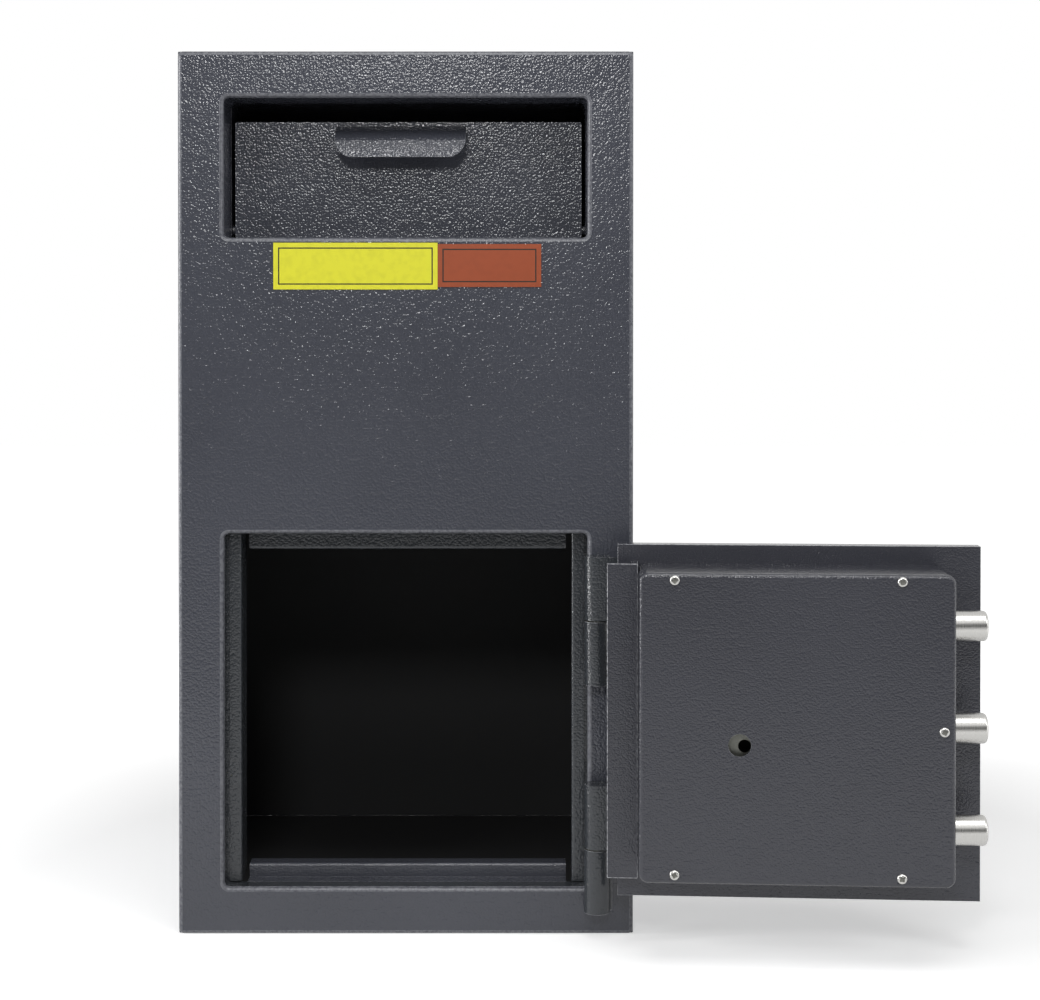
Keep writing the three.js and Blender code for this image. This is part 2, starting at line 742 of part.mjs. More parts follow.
function addDeadBar(door) {
  const top = slabTop - deadBarTopDrop;
  const y1 = hingeStandoff + deadBarDepth;
  const rootX = -deadBarTip - deadBarWidth;
  add(door, 'dead_bar', barZ(outline([
    [rootX, onSlab], [rootX + deadBarSheet, onSlab],
    [rootX + deadBarSheet, y1 - deadBarSheet], [-deadBarTip, y1 - deadBarSheet],
    [-deadBarTip, y1], [rootX, y1],
  ]), top - deadBarHeight, top), paintGrey);
}

// Cover: a folded tray with holes for the screws and the change key, and slots for the bolts
function addCover(door) {
  const outer = roundedRect(-coverLatchEdge, -coverHingeEdge, coverBottom, coverTop,
    coverCornerRadius);
  const inner = roundedRect(-coverLatchEdge + coverSheet, -coverHingeEdge - coverSheet,
    coverBottom + coverSheet, coverTop - coverSheet, coverCornerRadius - coverSheet);
  const shell = roundedPlateY(outer, onSlab - coverSheet - 2 * coverBend, coverFace, coverBend);
  const cuts = [
    plateY(inner, onSlab - coverDepth, coverInside),
    box(-coverLatchEdge - overrun, 0, onSlab - coverDepth, onSlab,
      coverBottom - overrun, coverTop + overrun),
    holeY(lockReach, coverTop - keyHoleDrop, keyHoleRadius,
      coverInside - overrun, coverFace + overrun),
  ];
  for (const [, reach, z] of screwSpots) {
    cuts.push(holeY(reach, z, screwShankRadius + seatGap, coverInside - overrun,
      coverFace + overrun));
  }
  const slotRadius = boltRadius + boltSlotClearance;
  for (const [, step] of boltHeights) {
    const z = boltZ + step * boltSpacing;
    const x0 = -coverLatchEdge - overrun;
    const x1 = -coverLatchEdge + coverSheet + overrun;
    cuts.push(turnedX(rod(slotRadius, x0, x1)).translate(0, boltY, z));
    cuts.push(box(x0, x1, onSlab - overrun, boltY, z - slotRadius, z + slotRadius));
  }
  cuts.push(box(-coverHingeEdge - coverSlit, -coverHingeEdge + overrun, onSlab - overrun,
    coverFace - coverBend - coverSheet, coverTop - coverSlit, coverTop + overrun));
  add(door, 'boltwork_cover', combine([shell], cuts), darkGrey);
}

function addCoverScrews(door) {
  const headFrom = coverFace + seatGap;
  const shankEnd = coverInside - seatGap - guideSheet;
  const profile = [
    [0, shankEnd],
    [screwShankRadius, shankEnd],
    [screwShankRadius, headFrom],
    [screwHeadRadius, headFrom],
    [screwHeadRadius, headFrom + screwDomeShare * screwHeadHeight],
    [(screwHeadRadius + screwSocketRadius) / 2,
      headFrom + (1 - screwDomeShare / 2) * screwHeadHeight],
    [screwSocketRadius, headFrom + screwHeadHeight],
    [screwSocketRadius, headFrom + screwHeadHeight - screwSocketDepth],
    [0, headFrom + screwHeadHeight - screwSocketDepth],
  ];
  for (const [place, reach, z] of screwSpots) {
    add(door, `cover_screw_${place}`, turnedY(profile, roundSteps / 2).translate(-reach, 0, z),
      brightSteel);
  }
}

// Channels between the slab and the cover that the cover screws run into
function channelShape(open, closedEdge, sheet) {
  const y1 = coverInside - seatGap;
  const inner = closedEdge + Math.sign(open - closedEdge) * sheet;
  return [
    [onSlab, closedEdge], [y1, closedEdge], [y1, open], [y1 - sheet, open],
    [y1 - sheet, inner], [onSlab + sheet, inner], [onSlab + sheet, open], [onSlab, open],
  ];
}

function addRails(door) {
  const x0 = -screwFarReach - railEndLap;
  const x1 = -screwNearReach + railEndLap;
  const rails = [
    ['cover_rail_top', coverTop - coverSheet - seatGap, -1, coverTop - screwTopDrop],
    ['cover_rail_bottom', coverBottom + coverSheet + seatGap, 1, coverBottom + screwBottomRise],
  ];
  for (const [name, open, toward, screwZ] of rails) {
    const shape = outline(channelShape(open, open + toward * railWidth, railSheet));
    const holes = [screwNearReach, screwFarReach].map((reach) => holeY(reach, screwZ,
      screwShankRadius + seatGap, coverInside - railSheet - overrun, coverInside + overrun));
    add(door, name, combine([barX(shape, x0, x1)], holes), zinc);
  }
}

function addBoltGuide(door) {
  const half = boltSpacing + guideEnd;
  const shape = outline(channelShape(-guideReach - guideWidth, -guideReach, guideSheet)
    .map(([y, x]) => [x, y]));
  const cuts = boltHeights.map(([, step]) => turnedX(rod(boltRadius + boltClearance,
    -guideReach - guideSheet - overrun, -guideReach + overrun))
    .translate(0, boltY, boltZ + step * boltSpacing));
  cuts.push(holeY(coverLatchEdge - screwEdgeInset, boltZ, screwShankRadius + seatGap,
    coverInside - guideSheet - overrun, coverInside + overrun));
  add(door, 'bolt_guide', combine([barZ(shape, boltZ - half, boltZ + half)], cuts), zinc);
}

function addLock(door) {
  const spindleHole = dialSpindleRadius + dialSpindleClearance;
  const left = -lockReach - lockWidth / 2;
  const right = -lockReach + lockWidth / 2;

  const plate = outline([
    [-handleReach - bushRadius, lockBottom - hardPlateMargin],
    [right + hardPlateMargin, lockBottom - hardPlateMargin],
    [right + hardPlateMargin, lockTop + hardPlateMargin],
    [-handleReach - bushRadius, lockTop + hardPlateMargin],
  ]);
  plate.holes.push(circlePath(-lockReach, lockZ, spindleHole));
  plate.holes.push(circlePath(-handleReach, boltZ, spindleRadius + seatGap));
  add(door, 'hard_plate', plateY(plate, onSlab, onSlab + hardPlateThickness, roundSteps / 2), zinc);

  const mountFrom = onSlab + hardPlateThickness + seatGap;
  const mount = roundedRect(left + mountMargin, right - mountMargin,
    lockBottom + mountMargin, lockTop - mountMargin, mountMargin);
  mount.holes.push(circlePath(-lockReach, lockZ, spindleHole));
  add(door, 'lock_mount', plateY(mount, mountFrom, mountFrom + mountThickness, roundSteps / 2), zinc);

  const caseBack = lockFront + lockDepth;
  const slotX = lockBoltWidth / 2 + lockBoltClearance;
  const slotY = lockBoltThickness / 2 + lockBoltClearance;
  const body = plateY(roundedRect(left, right, lockBottom, lockTop, mountMargin / 2),
    lockFront, caseBack);
  const hollow = box(left + lockWall, right - lockWall, lockFront + lockWall, caseBack + overrun,
    lockBottom + lockWall, lockTop - lockWall);
  const slot = box(-lockReach - slotX, -lockReach + slotX, boltY - slotY, boltY + slotY,
    lockTop - lockWall - overrun, lockTop + overrun);
  const spindle = holeY(lockReach, lockZ, spindleHole, lockFront - overrun,
    lockFront + lockWall + overrun);
  add(door, 'lock_case', combine([body], [hollow, slot, spindle]), zinc);

  const lid = roundedRect(left, right, lockBottom, lockTop, mountMargin / 2);
  lid.holes.push(circlePath(-lockReach - changeHoleShiftX,
    coverTop - keyHoleDrop - changeHoleShiftZ, changeHoleRadius));
  const lidFrom = caseBack + seatGap;
  add(door, 'lock_lid', plateY(lid, lidFrom, lidFrom + lockCoverThickness, roundSteps / 2), zinc);

  const boltTop = lockTop + lockBoltProud;
  add(door, 'lock_bolt', box(-lockReach - lockBoltWidth / 2, -lockReach + lockBoltWidth / 2,
    boltY - lockBoltThickness / 2, boltY + lockBoltThickness / 2,
    boltTop - lockBoltLength, boltTop), brightSteel);

  const camFrom = lockFront + lockWall + seatGap;
  add(door, 'drive_cam', turnedY(tube(dialSpindleRadius + camBoreClearance, camRadius,
    camFrom, camFrom + camThickness)).translate(-lockReach, 0, lockZ), brightSteel);
}

function addDial(door) {
  const faceY = hingeStandoff - 2 * seatGap;
  const plateY0 = faceY - dialThickness;
  const camEnd = lockFront + lockWall + seatGap + camThickness + seatGap;
  const knobEnd = plateY0 - dialKnobHeight;
  const profile = [
    [0, camEnd], [dialSpindleRadius, camEnd], [dialSpindleRadius, faceY], [dialRadius, faceY],
    [dialRadius, plateY0 + dialBevel], [dialRadius - dialBevel, plateY0],
    [dialKnobRadius, plateY0], [dialKnobRadius, knobEnd + dialBevel],
    [dialKnobRadius - dialBevel, knobEnd], [0, knobEnd],
  ];
  add(door, 'dial', turnedY(profile, 2 * roundSteps).translate(-lockReach, 0, lockZ),
    blackEnamel);
  const ringInner = dialRadius + dialRingGap;
  const ringY = hingeStandoff - seatGap;
  add(door, 'dial_ring', turnedY(tube(ringInner, ringInner + dialRingWidth,
    ringY - dialRingHeight, ringY), 2 * roundSteps).translate(-lockReach, 0, lockZ), satinChrome);
}

// Sliding carriage: a bar with an arm for the crank, a notched strip for the lock bolt, three bolts
function addBoltWork(door) {
  const half = boltSpacing + boltBarEnd;
  const barX0 = -boltBarReach;
  const barX1 = barX0 + boltBarWidth;
  const pinX = -handleReach - crankRadius * Math.sin(crankSwing);
  const armZ = boltZ + crankRadius;
  const shape = outline([
    [barX0, boltZ - half], [barX1, boltZ - half],
    [barX1, armZ - armWidth / 2], [-armReach, armZ - armWidth / 2],
    [-armReach, armZ + armWidth / 2], [barX1, armZ + armWidth / 2],
    [barX1, boltZ + half], [barX0, boltZ + half],
  ]);
  const y0 = barFront;
  const y1 = barFront + boltBarThickness;
  const slotHalf = crankPinRadius + crankSlotClearance;
  const slotEnd = slotHalf + crankSlotClearance;
  const slot = roundedRect(pinX - slotHalf, pinX + slotHalf,
    armZ - crankRadius * (1 - Math.cos(crankSwing)) - slotEnd, armZ + slotEnd, slotHalf);
  add(door, 'bolt_bar', combine([plateY(shape, y0, y1)],
    [plateY(slot, y0 - overrun, y1 + overrun)]), zinc);

  const blockFrom = lockTop + lockBoltProud + notchGap;
  const strip = box(barX1 + seatGap, -lockReach + lockBoltWidth + blockEnd,
    y0, y1, blockFrom, blockFrom + blockHeight);
  const notchHalf = lockBoltWidth / 2 + notchClearance;
  const notches = [0, -boltTravel].map((shift) => box(-lockReach + shift - notchHalf,
    -lockReach + shift + notchHalf, y0 - overrun, y1 + overrun,
    blockFrom - overrun, blockFrom + notchDepth));
  add(door, 'blocking_strip', combine([strip], notches), zinc);

  const root = boltBarReach + seatGap;
  const profile = [
    [0, -boltTip], [boltRadius - boltTipRound, -boltTip],
    [boltRadius - boltTipShare * boltTipRound, -boltTip + boltTipShare * boltTipRound],
    [boltRadius, -boltTip + boltTipRound], [boltRadius, -root], [0, -root],
  ];
  for (const [which, step] of boltHeights) {
    add(door, `live_bolt_${which}`, turnedX(profile)
      .translate(0, boltY, boltZ + step * boltSpacing), brightSteel);
  }
}

// Handle: a spindle through the slab with a crank inside and a lever outside
function addHandle(door) {
  const crankTo = barFront - crankGap;
  const crankFrom = crankTo - crankThickness;
  const hubBack = hingeStandoff - seatGap - bushHeight - seatGap;
  const hubFront = hubBack - leverHubHeight;
  const spindleEnd = hubFront + spindleEndShare * leverHubHeight;
  const pinX = -handleReach - crankRadius * Math.sin(crankSwing);
  const pinZ = boltZ + crankRadius * Math.cos(crankSwing);
  const arm = new THREE.Shape();
  arm.absarc(0, crankRadius, crankHalfWidth, 0, Math.PI);
  arm.absarc(0, 0, crankHalfWidth + seatGap, Math.PI, 2 * Math.PI);
  arm.closePath();
  const crank = plateY(arm, 0, crankThickness).rotateY(-crankSwing)
    .translate(-handleReach, crankFrom, boltZ);
  add(door, 'handle_crank', combine([
    holeY(handleReach, boltZ, spindleRadius, spindleEnd, crankTo),
    crank,
    turnedY(rod(crankPinRadius, crankTo - crankThickness / 2, barFront + boltBarThickness))
      .translate(pinX, 0, pinZ),
  ]), zinc);

  const bushFrom = hingeStandoff - seatGap;
  add(door, 'handle_rose', turnedY(tube(spindleRadius + seatGap, bushRadius,
    bushFrom - bushHeight, bushFrom)).translate(-handleReach, 0, boltZ), satinChrome);

  const grip = new THREE.Shape();
  const gripEnd = leverLength - leverHeight / 2;
  grip.moveTo(0, -leverHeight / 2);
  grip.lineTo(0, leverHeight / 2);
  grip.absarc(-gripEnd, 0, leverHeight / 2, Math.PI / 2, 1.5 * Math.PI);
  grip.closePath();
  const lever = plateY(grip, hubFront, hubFront + leverThickness, 2 * cornerSteps)
    .translate(-handleReach, 0, boltZ);
  add(door, 'handle_lever', combine([
    holeY(handleReach, boltZ, leverHubRadius, hubFront, hubBack), lever,
  ], [
    holeY(handleReach, boltZ, spindleRadius + seatGap, spindleEnd - seatGap, hubBack + overrun),
  ]), satinChrome);
}

function addDoor(group) {
  const door = new THREE.Group();
  door.position.set(hingeAxisX, frontY - hingeStandoff, 0);
  door.rotation.z = doorOpenAngle;
  group.add(door);
  addSlab(door);
  addHingeLeaves(door);
  addDeadBar(door);
  addCover(door);
  addCoverScrews(door);
  addRails(door);
  addBoltGuide(door);
  addLock(door);
  addDial(door);
  addBoltWork(door);
  addHandle(door);
}

const safe = new THREE.Group();
addCabinet(safe);
addOpeningRings(safe);
addJambs(safe);
addStopBars(safe);
addLabels(safe);
addDrawer(safe);
addHousing(safe);
addHingePosts(safe);
addDoor(safe);

export default safe;
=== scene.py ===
"""Finishes, fine details and a plain studio for a drop safe with a deposit drawer."""

import json
import math

import bmesh
import bpy
from bpy.props import FloatProperty, FloatVectorProperty, IntProperty, PointerProperty
from mathutils import Euler, Matrix, Vector


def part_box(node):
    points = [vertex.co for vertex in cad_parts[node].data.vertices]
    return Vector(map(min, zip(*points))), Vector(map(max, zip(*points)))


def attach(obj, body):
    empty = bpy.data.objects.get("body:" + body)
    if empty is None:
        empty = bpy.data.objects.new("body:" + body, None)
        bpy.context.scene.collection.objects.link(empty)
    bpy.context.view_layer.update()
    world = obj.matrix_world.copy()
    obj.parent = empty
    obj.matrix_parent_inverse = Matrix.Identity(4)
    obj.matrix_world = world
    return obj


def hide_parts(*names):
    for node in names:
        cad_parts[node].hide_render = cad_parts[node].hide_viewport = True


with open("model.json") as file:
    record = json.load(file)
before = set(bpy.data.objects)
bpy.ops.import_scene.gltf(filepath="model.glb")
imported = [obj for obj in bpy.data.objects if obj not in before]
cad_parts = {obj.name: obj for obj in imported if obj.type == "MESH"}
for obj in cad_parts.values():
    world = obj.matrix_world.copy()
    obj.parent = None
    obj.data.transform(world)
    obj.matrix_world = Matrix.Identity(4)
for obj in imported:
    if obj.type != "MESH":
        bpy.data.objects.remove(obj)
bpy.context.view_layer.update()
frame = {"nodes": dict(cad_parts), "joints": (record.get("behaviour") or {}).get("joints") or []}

bl_info = {
    "name": "Drop Safe Looks",
    "version": (1, 0, 0),
    "blender": (4, 5, 0),
    "location": "3D View > Sidebar > Drop Safe",
    "description": "Paint, plated steel, dial marks and a plain studio for a drop safe",
    "category": "Object",
}

MM = 0.001

# Which of a part's materials its eased edges take: the second, or else that of their faces
EDGE_MATERIAL = 1
NO_EDGE_MATERIAL = -1

# The photograph's camera: its picture in pixels, its place in millimetres of the safe's frame
PHOTO_WIDTH = 1040
PHOTO_HEIGHT = 1000
FOCAL_PIXELS = 1923.35
SIGHT_PIXEL = (506.3, 345.3)
CAMERA_PLACE_MM = (78.6, -1677.8, 474.6)
CAMERA_TILT_DEGREES = -0.533

# What the frame holds, by name
JOINTS = {joint["name"]: joint for joint in frame["joints"]}
NODES = frame["nodes"]

# Each light's name, power setting, width and height, place, and the point that it faces, in metres
SAFE_MIDDLE = (0, -0.18, 0.4)
LIGHTS = (
    ("left_softbox", "left_power", 0.6, 0.8, (-1.4, -1.6, 1.5), SAFE_MIDDLE),
    ("right_softbox", "right_power", 0.6, 0.8, (1.5, -1.6, 1.5), SAFE_MIDDLE),
    ("left_rim", "left_rim", 0.3, 1.5, (-1.8, -0.42, 0.6), (0, -0.18, 0.6)),
    ("right_rim", "right_rim", 0.3, 1.5, (1.9, -0.6, 0.6), (0.2, -0.18, 0.6)),
    ("middle_softbox", "middle_power", 0.34, 0.26, (-0.08, -2.0, 1.2), SAFE_MIDDLE),
    ("top_softbox", "top_power", 1.4, 0.8, (0.35, -1.2, 2.15), (0.35, -0.5, 0)),
)


def linear(code):
    """An sRGB hex colour as linear red, green and blue."""
    shares = [int(code[i : i + 2], 16) / 255 for i in (1, 3, 5)]
    return tuple(
        s / 12.92 if s <= 0.04045 else ((s + 0.055) / 1.055) ** 2.4 for s in shares
    )


def colour_setting(name, description, code):
    return FloatVectorProperty(
        name=name,
        description=description,
        subtype="COLOR",
        size=3,
        min=0,
        max=1,
        default=linear(code),
    )


def length_setting(name, description, millimetres):
    return FloatProperty(
        name=name,
        description=description,
        default=millimetres * MM,
        min=0,
        unit="LENGTH",
        subtype="DISTANCE",
        precision=5,
    )


def power_setting(name, description, watts):
    return FloatProperty(
        name=name, description=description, default=watts, min=0, unit="POWER"
    )


def strength_setting(name, description, strength):
    """A strength, where 1 shows as white."""
    return FloatProperty(name=name, description=description, default=strength, min=0)


class SafePaintSettings(bpy.types.PropertyGroup):
    """Colours and grain of the painted steel."""

    body_colour: colour_setting("Body", "Hammered enamel on the cabinet", "#45474f")
    # Darker than the body: painted shade on the recessed jambs, header and hinges
    frame_colour: colour_setting("Door frame", "Enamel on the jambs and hinges", "#383b3f")
    door_colour: colour_setting("Door", "Finely hammered enamel on the door", "#3d3e45")
    # Near black inside the cabinet: a painted shade for its dim inside
    inside_colour: colour_setting("Inside", "Black primer inside the cabinet", "#303031")
    coarse_grain: length_setting(
        "Coarse grain", "Distance between the drops of the cabinet's enamel", 1.9
    )
    coarse_relief: length_setting(
        "Coarse relief", "Height of the drops of the cabinet's enamel", 0.29
    )
    fine_grain: length_setting(
        "Fine grain", "Distance between the drops of the door's enamel", 1.5
    )
    fine_relief: length_setting("Fine relief", "Height of the drops of the door's enamel", 0.26)
    # Light edge colour: partly rubbed enamel, partly a painted highlight where edges catch the
    # light
    edge_colour: colour_setting("Edges", "Thin, rubbed enamel over the edges", "#a6a7ac")


class SafeFittingSettings(bpy.types.PropertyGroup):
    """Colours and sizes of the fittings."""

    steel_colour: colour_setting("Steel", "Turned steel of the bolts and screws", "#bfbebb")
    zinc_colour: colour_setting("Zinc", "Dull zinc plate of the inner parts", "#7d7e78")
    chrome_colour: colour_setting("Chrome", "Satin chrome of the lever and dial ring", "#cfd1d3")
    dial_colour: colour_setting("Dial", "Black enamel of the dial", "#141517")
    mark_colour: colour_setting("Dial marks", "Filled marks on the dial", "#e8e8e4")
    rubber_colour: colour_setting("Rubber", "Moulded rubber of the drawer stops", "#1a1a1b")
    yellow_colour: colour_setting("Yellow plate", "Wide plate under the drawer", "#dedb30")
    brown_colour: colour_setting("Brown plate", "Narrow plate under the drawer", "#984726")
    border_colour: colour_setting("Plate border", "Printed line round each plate", "#1d1c16")
    border_inset: length_setting(
        "Border inset", "From the edge of a plate to its printed line", 4.2
    )
    border_width: length_setting("Border line", "Width of the printed line", 1.0)
    # Darker steel for the screw's cross recess: painted shade
    recess_colour: colour_setting("Screw recess", "Steel down in a screw's recess", "#8c8c86")
    edge_ease: length_setting("Eased edges", "Radius of the paint over a cut edge", 0.6)
    pressed_ease: length_setting("Pressed edges", "Radius of the front panel's edges", 1.6)
    folded_ease: length_setting("Folded edges", "Radius of the door frame's folds", 0.9)
    dial_marks: IntProperty(
        name="Dial marks", description="Marks round the dial", default=100, min=10
    )


class SafeStageSettings(bpy.types.PropertyGroup):
    """Light and floor of the plain studio."""

    left_power: power_setting("Left light", "Softbox in front on the left", 6)
    right_power: power_setting("Right light", "Softbox in front on the right", 6.5)
    left_rim: power_setting("Left rim light", "Upright strip beside the safe on the left", 24)
    right_rim: power_setting("Right rim light", "Upright strip beside the safe on the right", 5)
    middle_power: power_setting("Middle light", "Softbox above the camera", 7.8)
    top_power: power_setting("Top light", "Broad softbox overhead", 19)
    ambient: strength_setting("Ambient", "Light from all round on matt surfaces", 0.03)
    bounce: strength_setting("Bounce", "Light that the white floor throws back up", 0.12)
    room: strength_setting("Room", "The room behind the camera, as mirrors see it", 0.08)
    floor_near: strength_setting("Floor near", "White of the floor beside the safe", 0.5)
    floor_far: strength_setting("Floor far", "White of the floor away from the safe", 1.0)


def used(sockets, name=None):
    """The first socket in use, of that name where one is given."""
    return next(one for one in sockets if one.enabled and name in (None, one.name))


def add_node(tree, kind, inputs, **settings):
    """Adds one node. An input is given a value, an output, or a node for its first output."""
    made = tree.nodes.new(kind)
    for name, value in settings.items():
        setattr(made, name, value)
    for name, value in inputs.items():
        # Inputs that share one name go by their number
        socket = made.inputs[name] if isinstance(name, int) else used(made.inputs, name)
        if isinstance(value, bpy.types.Node):
            value = used(value.outputs)
        if isinstance(value, bpy.types.NodeSocket):
            tree.links.new(value, socket)
        else:
            socket.default_value = value
    return made


def new_material(name):
    """A material, its empty tree, and the surface point in the safe's own frame at rest."""
    material = bpy.data.materials.new(name)
    material.use_nodes = True
    tree = material.node_tree
    tree.nodes.clear()
    place = add_node(tree, "ShaderNodeTexCoord", {}).outputs["Object"]
    return material, tree, place


def end_in_surface(tree, inputs):
    """Ends a tree in one surface shader, whose constants stand on its own sockets."""
    shader = add_node(tree, "ShaderNodeBsdfPrincipled", inputs)
    add_node(tree, "ShaderNodeOutputMaterial", {"Surface": shader})


def shade(colour, share=1.0):
    """An opaque colour, made darker or lighter by that share."""
    return (*[part * share for part in colour], 1)


def per_metre(length):
    """Texture scale for a pattern that repeats over that length in metres."""
    return 1 / length


def mottled(tree, place, size, detail, first, second, low=0.0, high=1.0):
    """Two colours in soft blotches of that size, and the pattern that blends them.

    Where the noise is under low the first colour shows alone, and over high the second.
    """
    noise = add_node(
        tree, "ShaderNodeTexNoise", {"Vector": place, "Scale": per_metre(size), "Detail": detail}
    )
    pattern = add_node(
        tree, "ShaderNodeMapRange", {"Value": noise, "From Min": low, "From Max": high}
    )
    colour = add_node(
        tree, "ShaderNodeMix", {"Factor": pattern, "A": first, "B": second}, data_type="RGBA"
    )
    return colour, pattern


def hammered_enamel(name, colour, grain, relief, inside=False):
    """Hammered enamel, sprayed on sheet steel.

    It gathers into small rounded drops as it dries, so the glossy film shows a light as one
    short glint on each drop, over a dark satin grey. On the inside it is matt and near black, as
    painted shade.
    """
    material, tree, place = new_material(name)
    # A slow noise pushes the drops out of line
    bend_size, bend_reach = 4 * grain, 1.2 * grain
    slow = add_node(
        tree, "ShaderNodeTexNoise", {"Vector": place, "Scale": per_metre(bend_size), "Detail": 1.0}
    )
    bend = add_node(
        tree,
        "ShaderNodeVectorMath",
        {0: slow.outputs["Color"], "Scale": bend_reach},
        operation="SCALE",
    )
    bent = add_node(tree, "ShaderNodeVectorMath", {0: place, 1: bend}, operation="ADD")
    drops = add_node(
        tree,
        "ShaderNodeTexVoronoi",
        {"Vector": bent, "Scale": per_metre(grain), "Smoothness": 0.35, "Randomness": 0.8},
        feature="SMOOTH_F1",
    )
    # A drop is round on top: its height falls with the square of the distance from its middle
    fall = add_node(tree, "ShaderNodeMath", {0: drops, 1: drops}, operation="MULTIPLY")
    ripple_size, ripple_share = 1.7 * grain, 0.35
    ripple = add_node(
        tree,
        "ShaderNodeTexNoise",
        {"Vector": place, "Scale": per_metre(ripple_size), "Detail": 1.0, "Roughness": 0.4},
    )
    rise = add_node(tree, "ShaderNodeMath", {0: ripple, 1: ripple_share}, operation="MULTIPLY")
    height = add_node(tree, "ShaderNodeMath", {0: rise, 1: fall}, operation="SUBTRACT")
    cloud_size = 180 * MM
    painted, cloud = mottled(
        tree, place, cloud_size, 2.0, shade(colour, 0.95), shade(colour, 1.05), 0.35, 0.65
    )
    rough = add_node(
        tree, "ShaderNodeMapRange", {"Value": cloud, "To Min": 0.15, "To Max": 0.19}
    )
    surface = {"IOR": 1.5, "Base Color": painted, "Roughness": rough}
    strength = 1.0
    if inside:
        # Inside the cabinet the enamel turns matt and near black: painted shade for the dim inside
        inside_shade = inner_side(tree, place)
        strength = add_node(
            tree, "ShaderNodeMapRange", {"Value": inside_shade, "To Min": strength, "To Max": 0.15}
        )
        black = shade(bpy.context.scene.safe_paint.inside_colour)
        surface["Base Color"] = add_node(
            tree, "ShaderNodeMix", {"Factor": inside_shade, "A": painted, "B": black}, data_type="RGBA"
        )
        surface["Roughness"] = add_node(
            tree, "ShaderNodeMix", {"Factor": inside_shade, "A": rough, "B": 0.7}
        )
        surface["Specular IOR Level"] = add_node(
            tree, "ShaderNodeMapRange", {"Value": inside_shade, "To Min": 0.5, "To Max": 0.3}
        )
    surface["Normal"] = add_node(
        tree, "ShaderNodeBump", {"Height": height, "Strength": strength, "Distance": relief}
    )
    end_in_surface(tree, surface)
    return material


def inner_side(tree, place):
    """1 on the faces that look into the cabinet, 0 outside."""
    lowest, highest = cabinet_inner_box()
    parts = add_node(tree, "ShaderNodeSeparateXYZ", {0: place})
    inside = 1.0
    for axis in range(3):
        for limit, side in ((lowest, "GREATER_THAN"), (highest, "LESS_THAN")):
            within = add_node(
                tree,
                "ShaderNodeMath",
                {0: parts.outputs[axis], 1: limit[axis]},
                operation=side,
            )
            inside = add_node(
                tree, "ShaderNodeMath", {0: inside, 1: within}, operation="MULTIPLY"
            )
    return inside


def cabinet_inner_box():
    """The inner faces of the cabinet's plates, widened by a hair so that they count as inside."""
    hair = 0.3 * MM
    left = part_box("side_plate_left")[1].x
    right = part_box("side_plate_right")[0].x
    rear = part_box("back_plate")[0].y
    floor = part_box("floor_plate")[1].z
    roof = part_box("top_plate")[0].z
    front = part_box("front_panel")[1].y
    return (
        Vector((left - hair, front - hair, floor - hair)),
        Vector((right + hair, rear + hair, roof + hair)),
    )


def rubbed_enamel(name, colour, edge_lightening=1.0):
    """Enamel over an edge, lighter than on the faces: partly thin, rubbed film, partly a painted
    highlight.
    """
    edge_colour = bpy.context.scene.safe_paint.edge_colour
    # The edges are lightened toward this colour: some wear and a painted highlight
    worn_and_highlighted = [whole + edge_lightening * (thin - whole) for whole, thin in zip(colour, edge_colour)]
    material, tree, place = new_material(name)
    edge_blotch_size = 2.5 * MM
    blend, _ = mottled(tree, place, edge_blotch_size, 3.0, shade(colour), shade(worn_and_highlighted), 0.3, 0.6)
    end_in_surface(tree, {"IOR": 1.5, "Roughness": 0.3, "Base Color": blend})
    return material


def turned_steel(name, axis, roughness=0.28):
    """Bright bar steel, turned on a lathe: fine rings along its axis streak the reflections."""
    steel = bpy.context.scene.safe_fittings.steel_colour
    material, tree, place = new_material(name)
    along = add_node(
        tree, "ShaderNodeVectorMath", {0: place, 1: tuple(axis)}, operation="DOT_PRODUCT"
    )
    line = add_node(tree, "ShaderNodeCombineXYZ", {"X": along})
    # Turning marks lie 0.05 mm apart on the real bar and are drawn at 0.6 mm to show
    ring_size, ring_depth = 0.6 * MM, 0.05 * MM
    colour, rings = mottled(tree, line, ring_size, 3.0, shade(steel, 0.95), shade(steel, 1.05))
    rough = add_node(
        tree,
        "ShaderNodeMapRange",
        {
            "Value": rings,
            "From Min": 0.3,
            "From Max": 0.7,
            "To Min": roughness * 0.9,
            "To Max": roughness * 1.15,
        },
    )
    bump = add_node(
        tree, "ShaderNodeBump", {"Height": rings, "Strength": 0.06, "Distance": ring_depth}
    )
    end_in_surface(
        tree, {"Metallic": 1.0, "Base Color": colour, "Roughness": rough, "Normal": bump}
    )
    return material


def zinc_plate(name):
    """Zinc-plated mild steel, barrel plated: dull, slightly blotched grey."""
    zinc = bpy.context.scene.safe_fittings.zinc_colour
    material, tree, place = new_material(name)
    blotch_size = 14 * MM
    colour, blotches = mottled(tree, place, blotch_size, 4.0, shade(zinc, 0.78), shade(zinc))
    rough = add_node(
        tree,
        "ShaderNodeMapRange",
        {"Value": blotches, "From Min": 0.3, "From Max": 0.7, "To Min": 0.38, "To Max": 0.55},
    )
    end_in_surface(tree, {"Metallic": 1.0, "Base Color": colour, "Roughness": rough})
    return material


def dull_recess(name):
    """Steel at the bottom of a screw's recess, darkened as painted shade and blotched."""
    recess = bpy.context.scene.safe_fittings.recess_colour
    material, tree, place = new_material(name)
    recess_blotch_size = 0.8 * MM
    colour, _ = mottled(tree, place, recess_blotch_size, 2.0, shade(recess, 0.7), shade(recess))
    end_in_surface(tree, {"Metallic": 0.6, "Roughness": 0.6, "Base Color": colour})
    return material


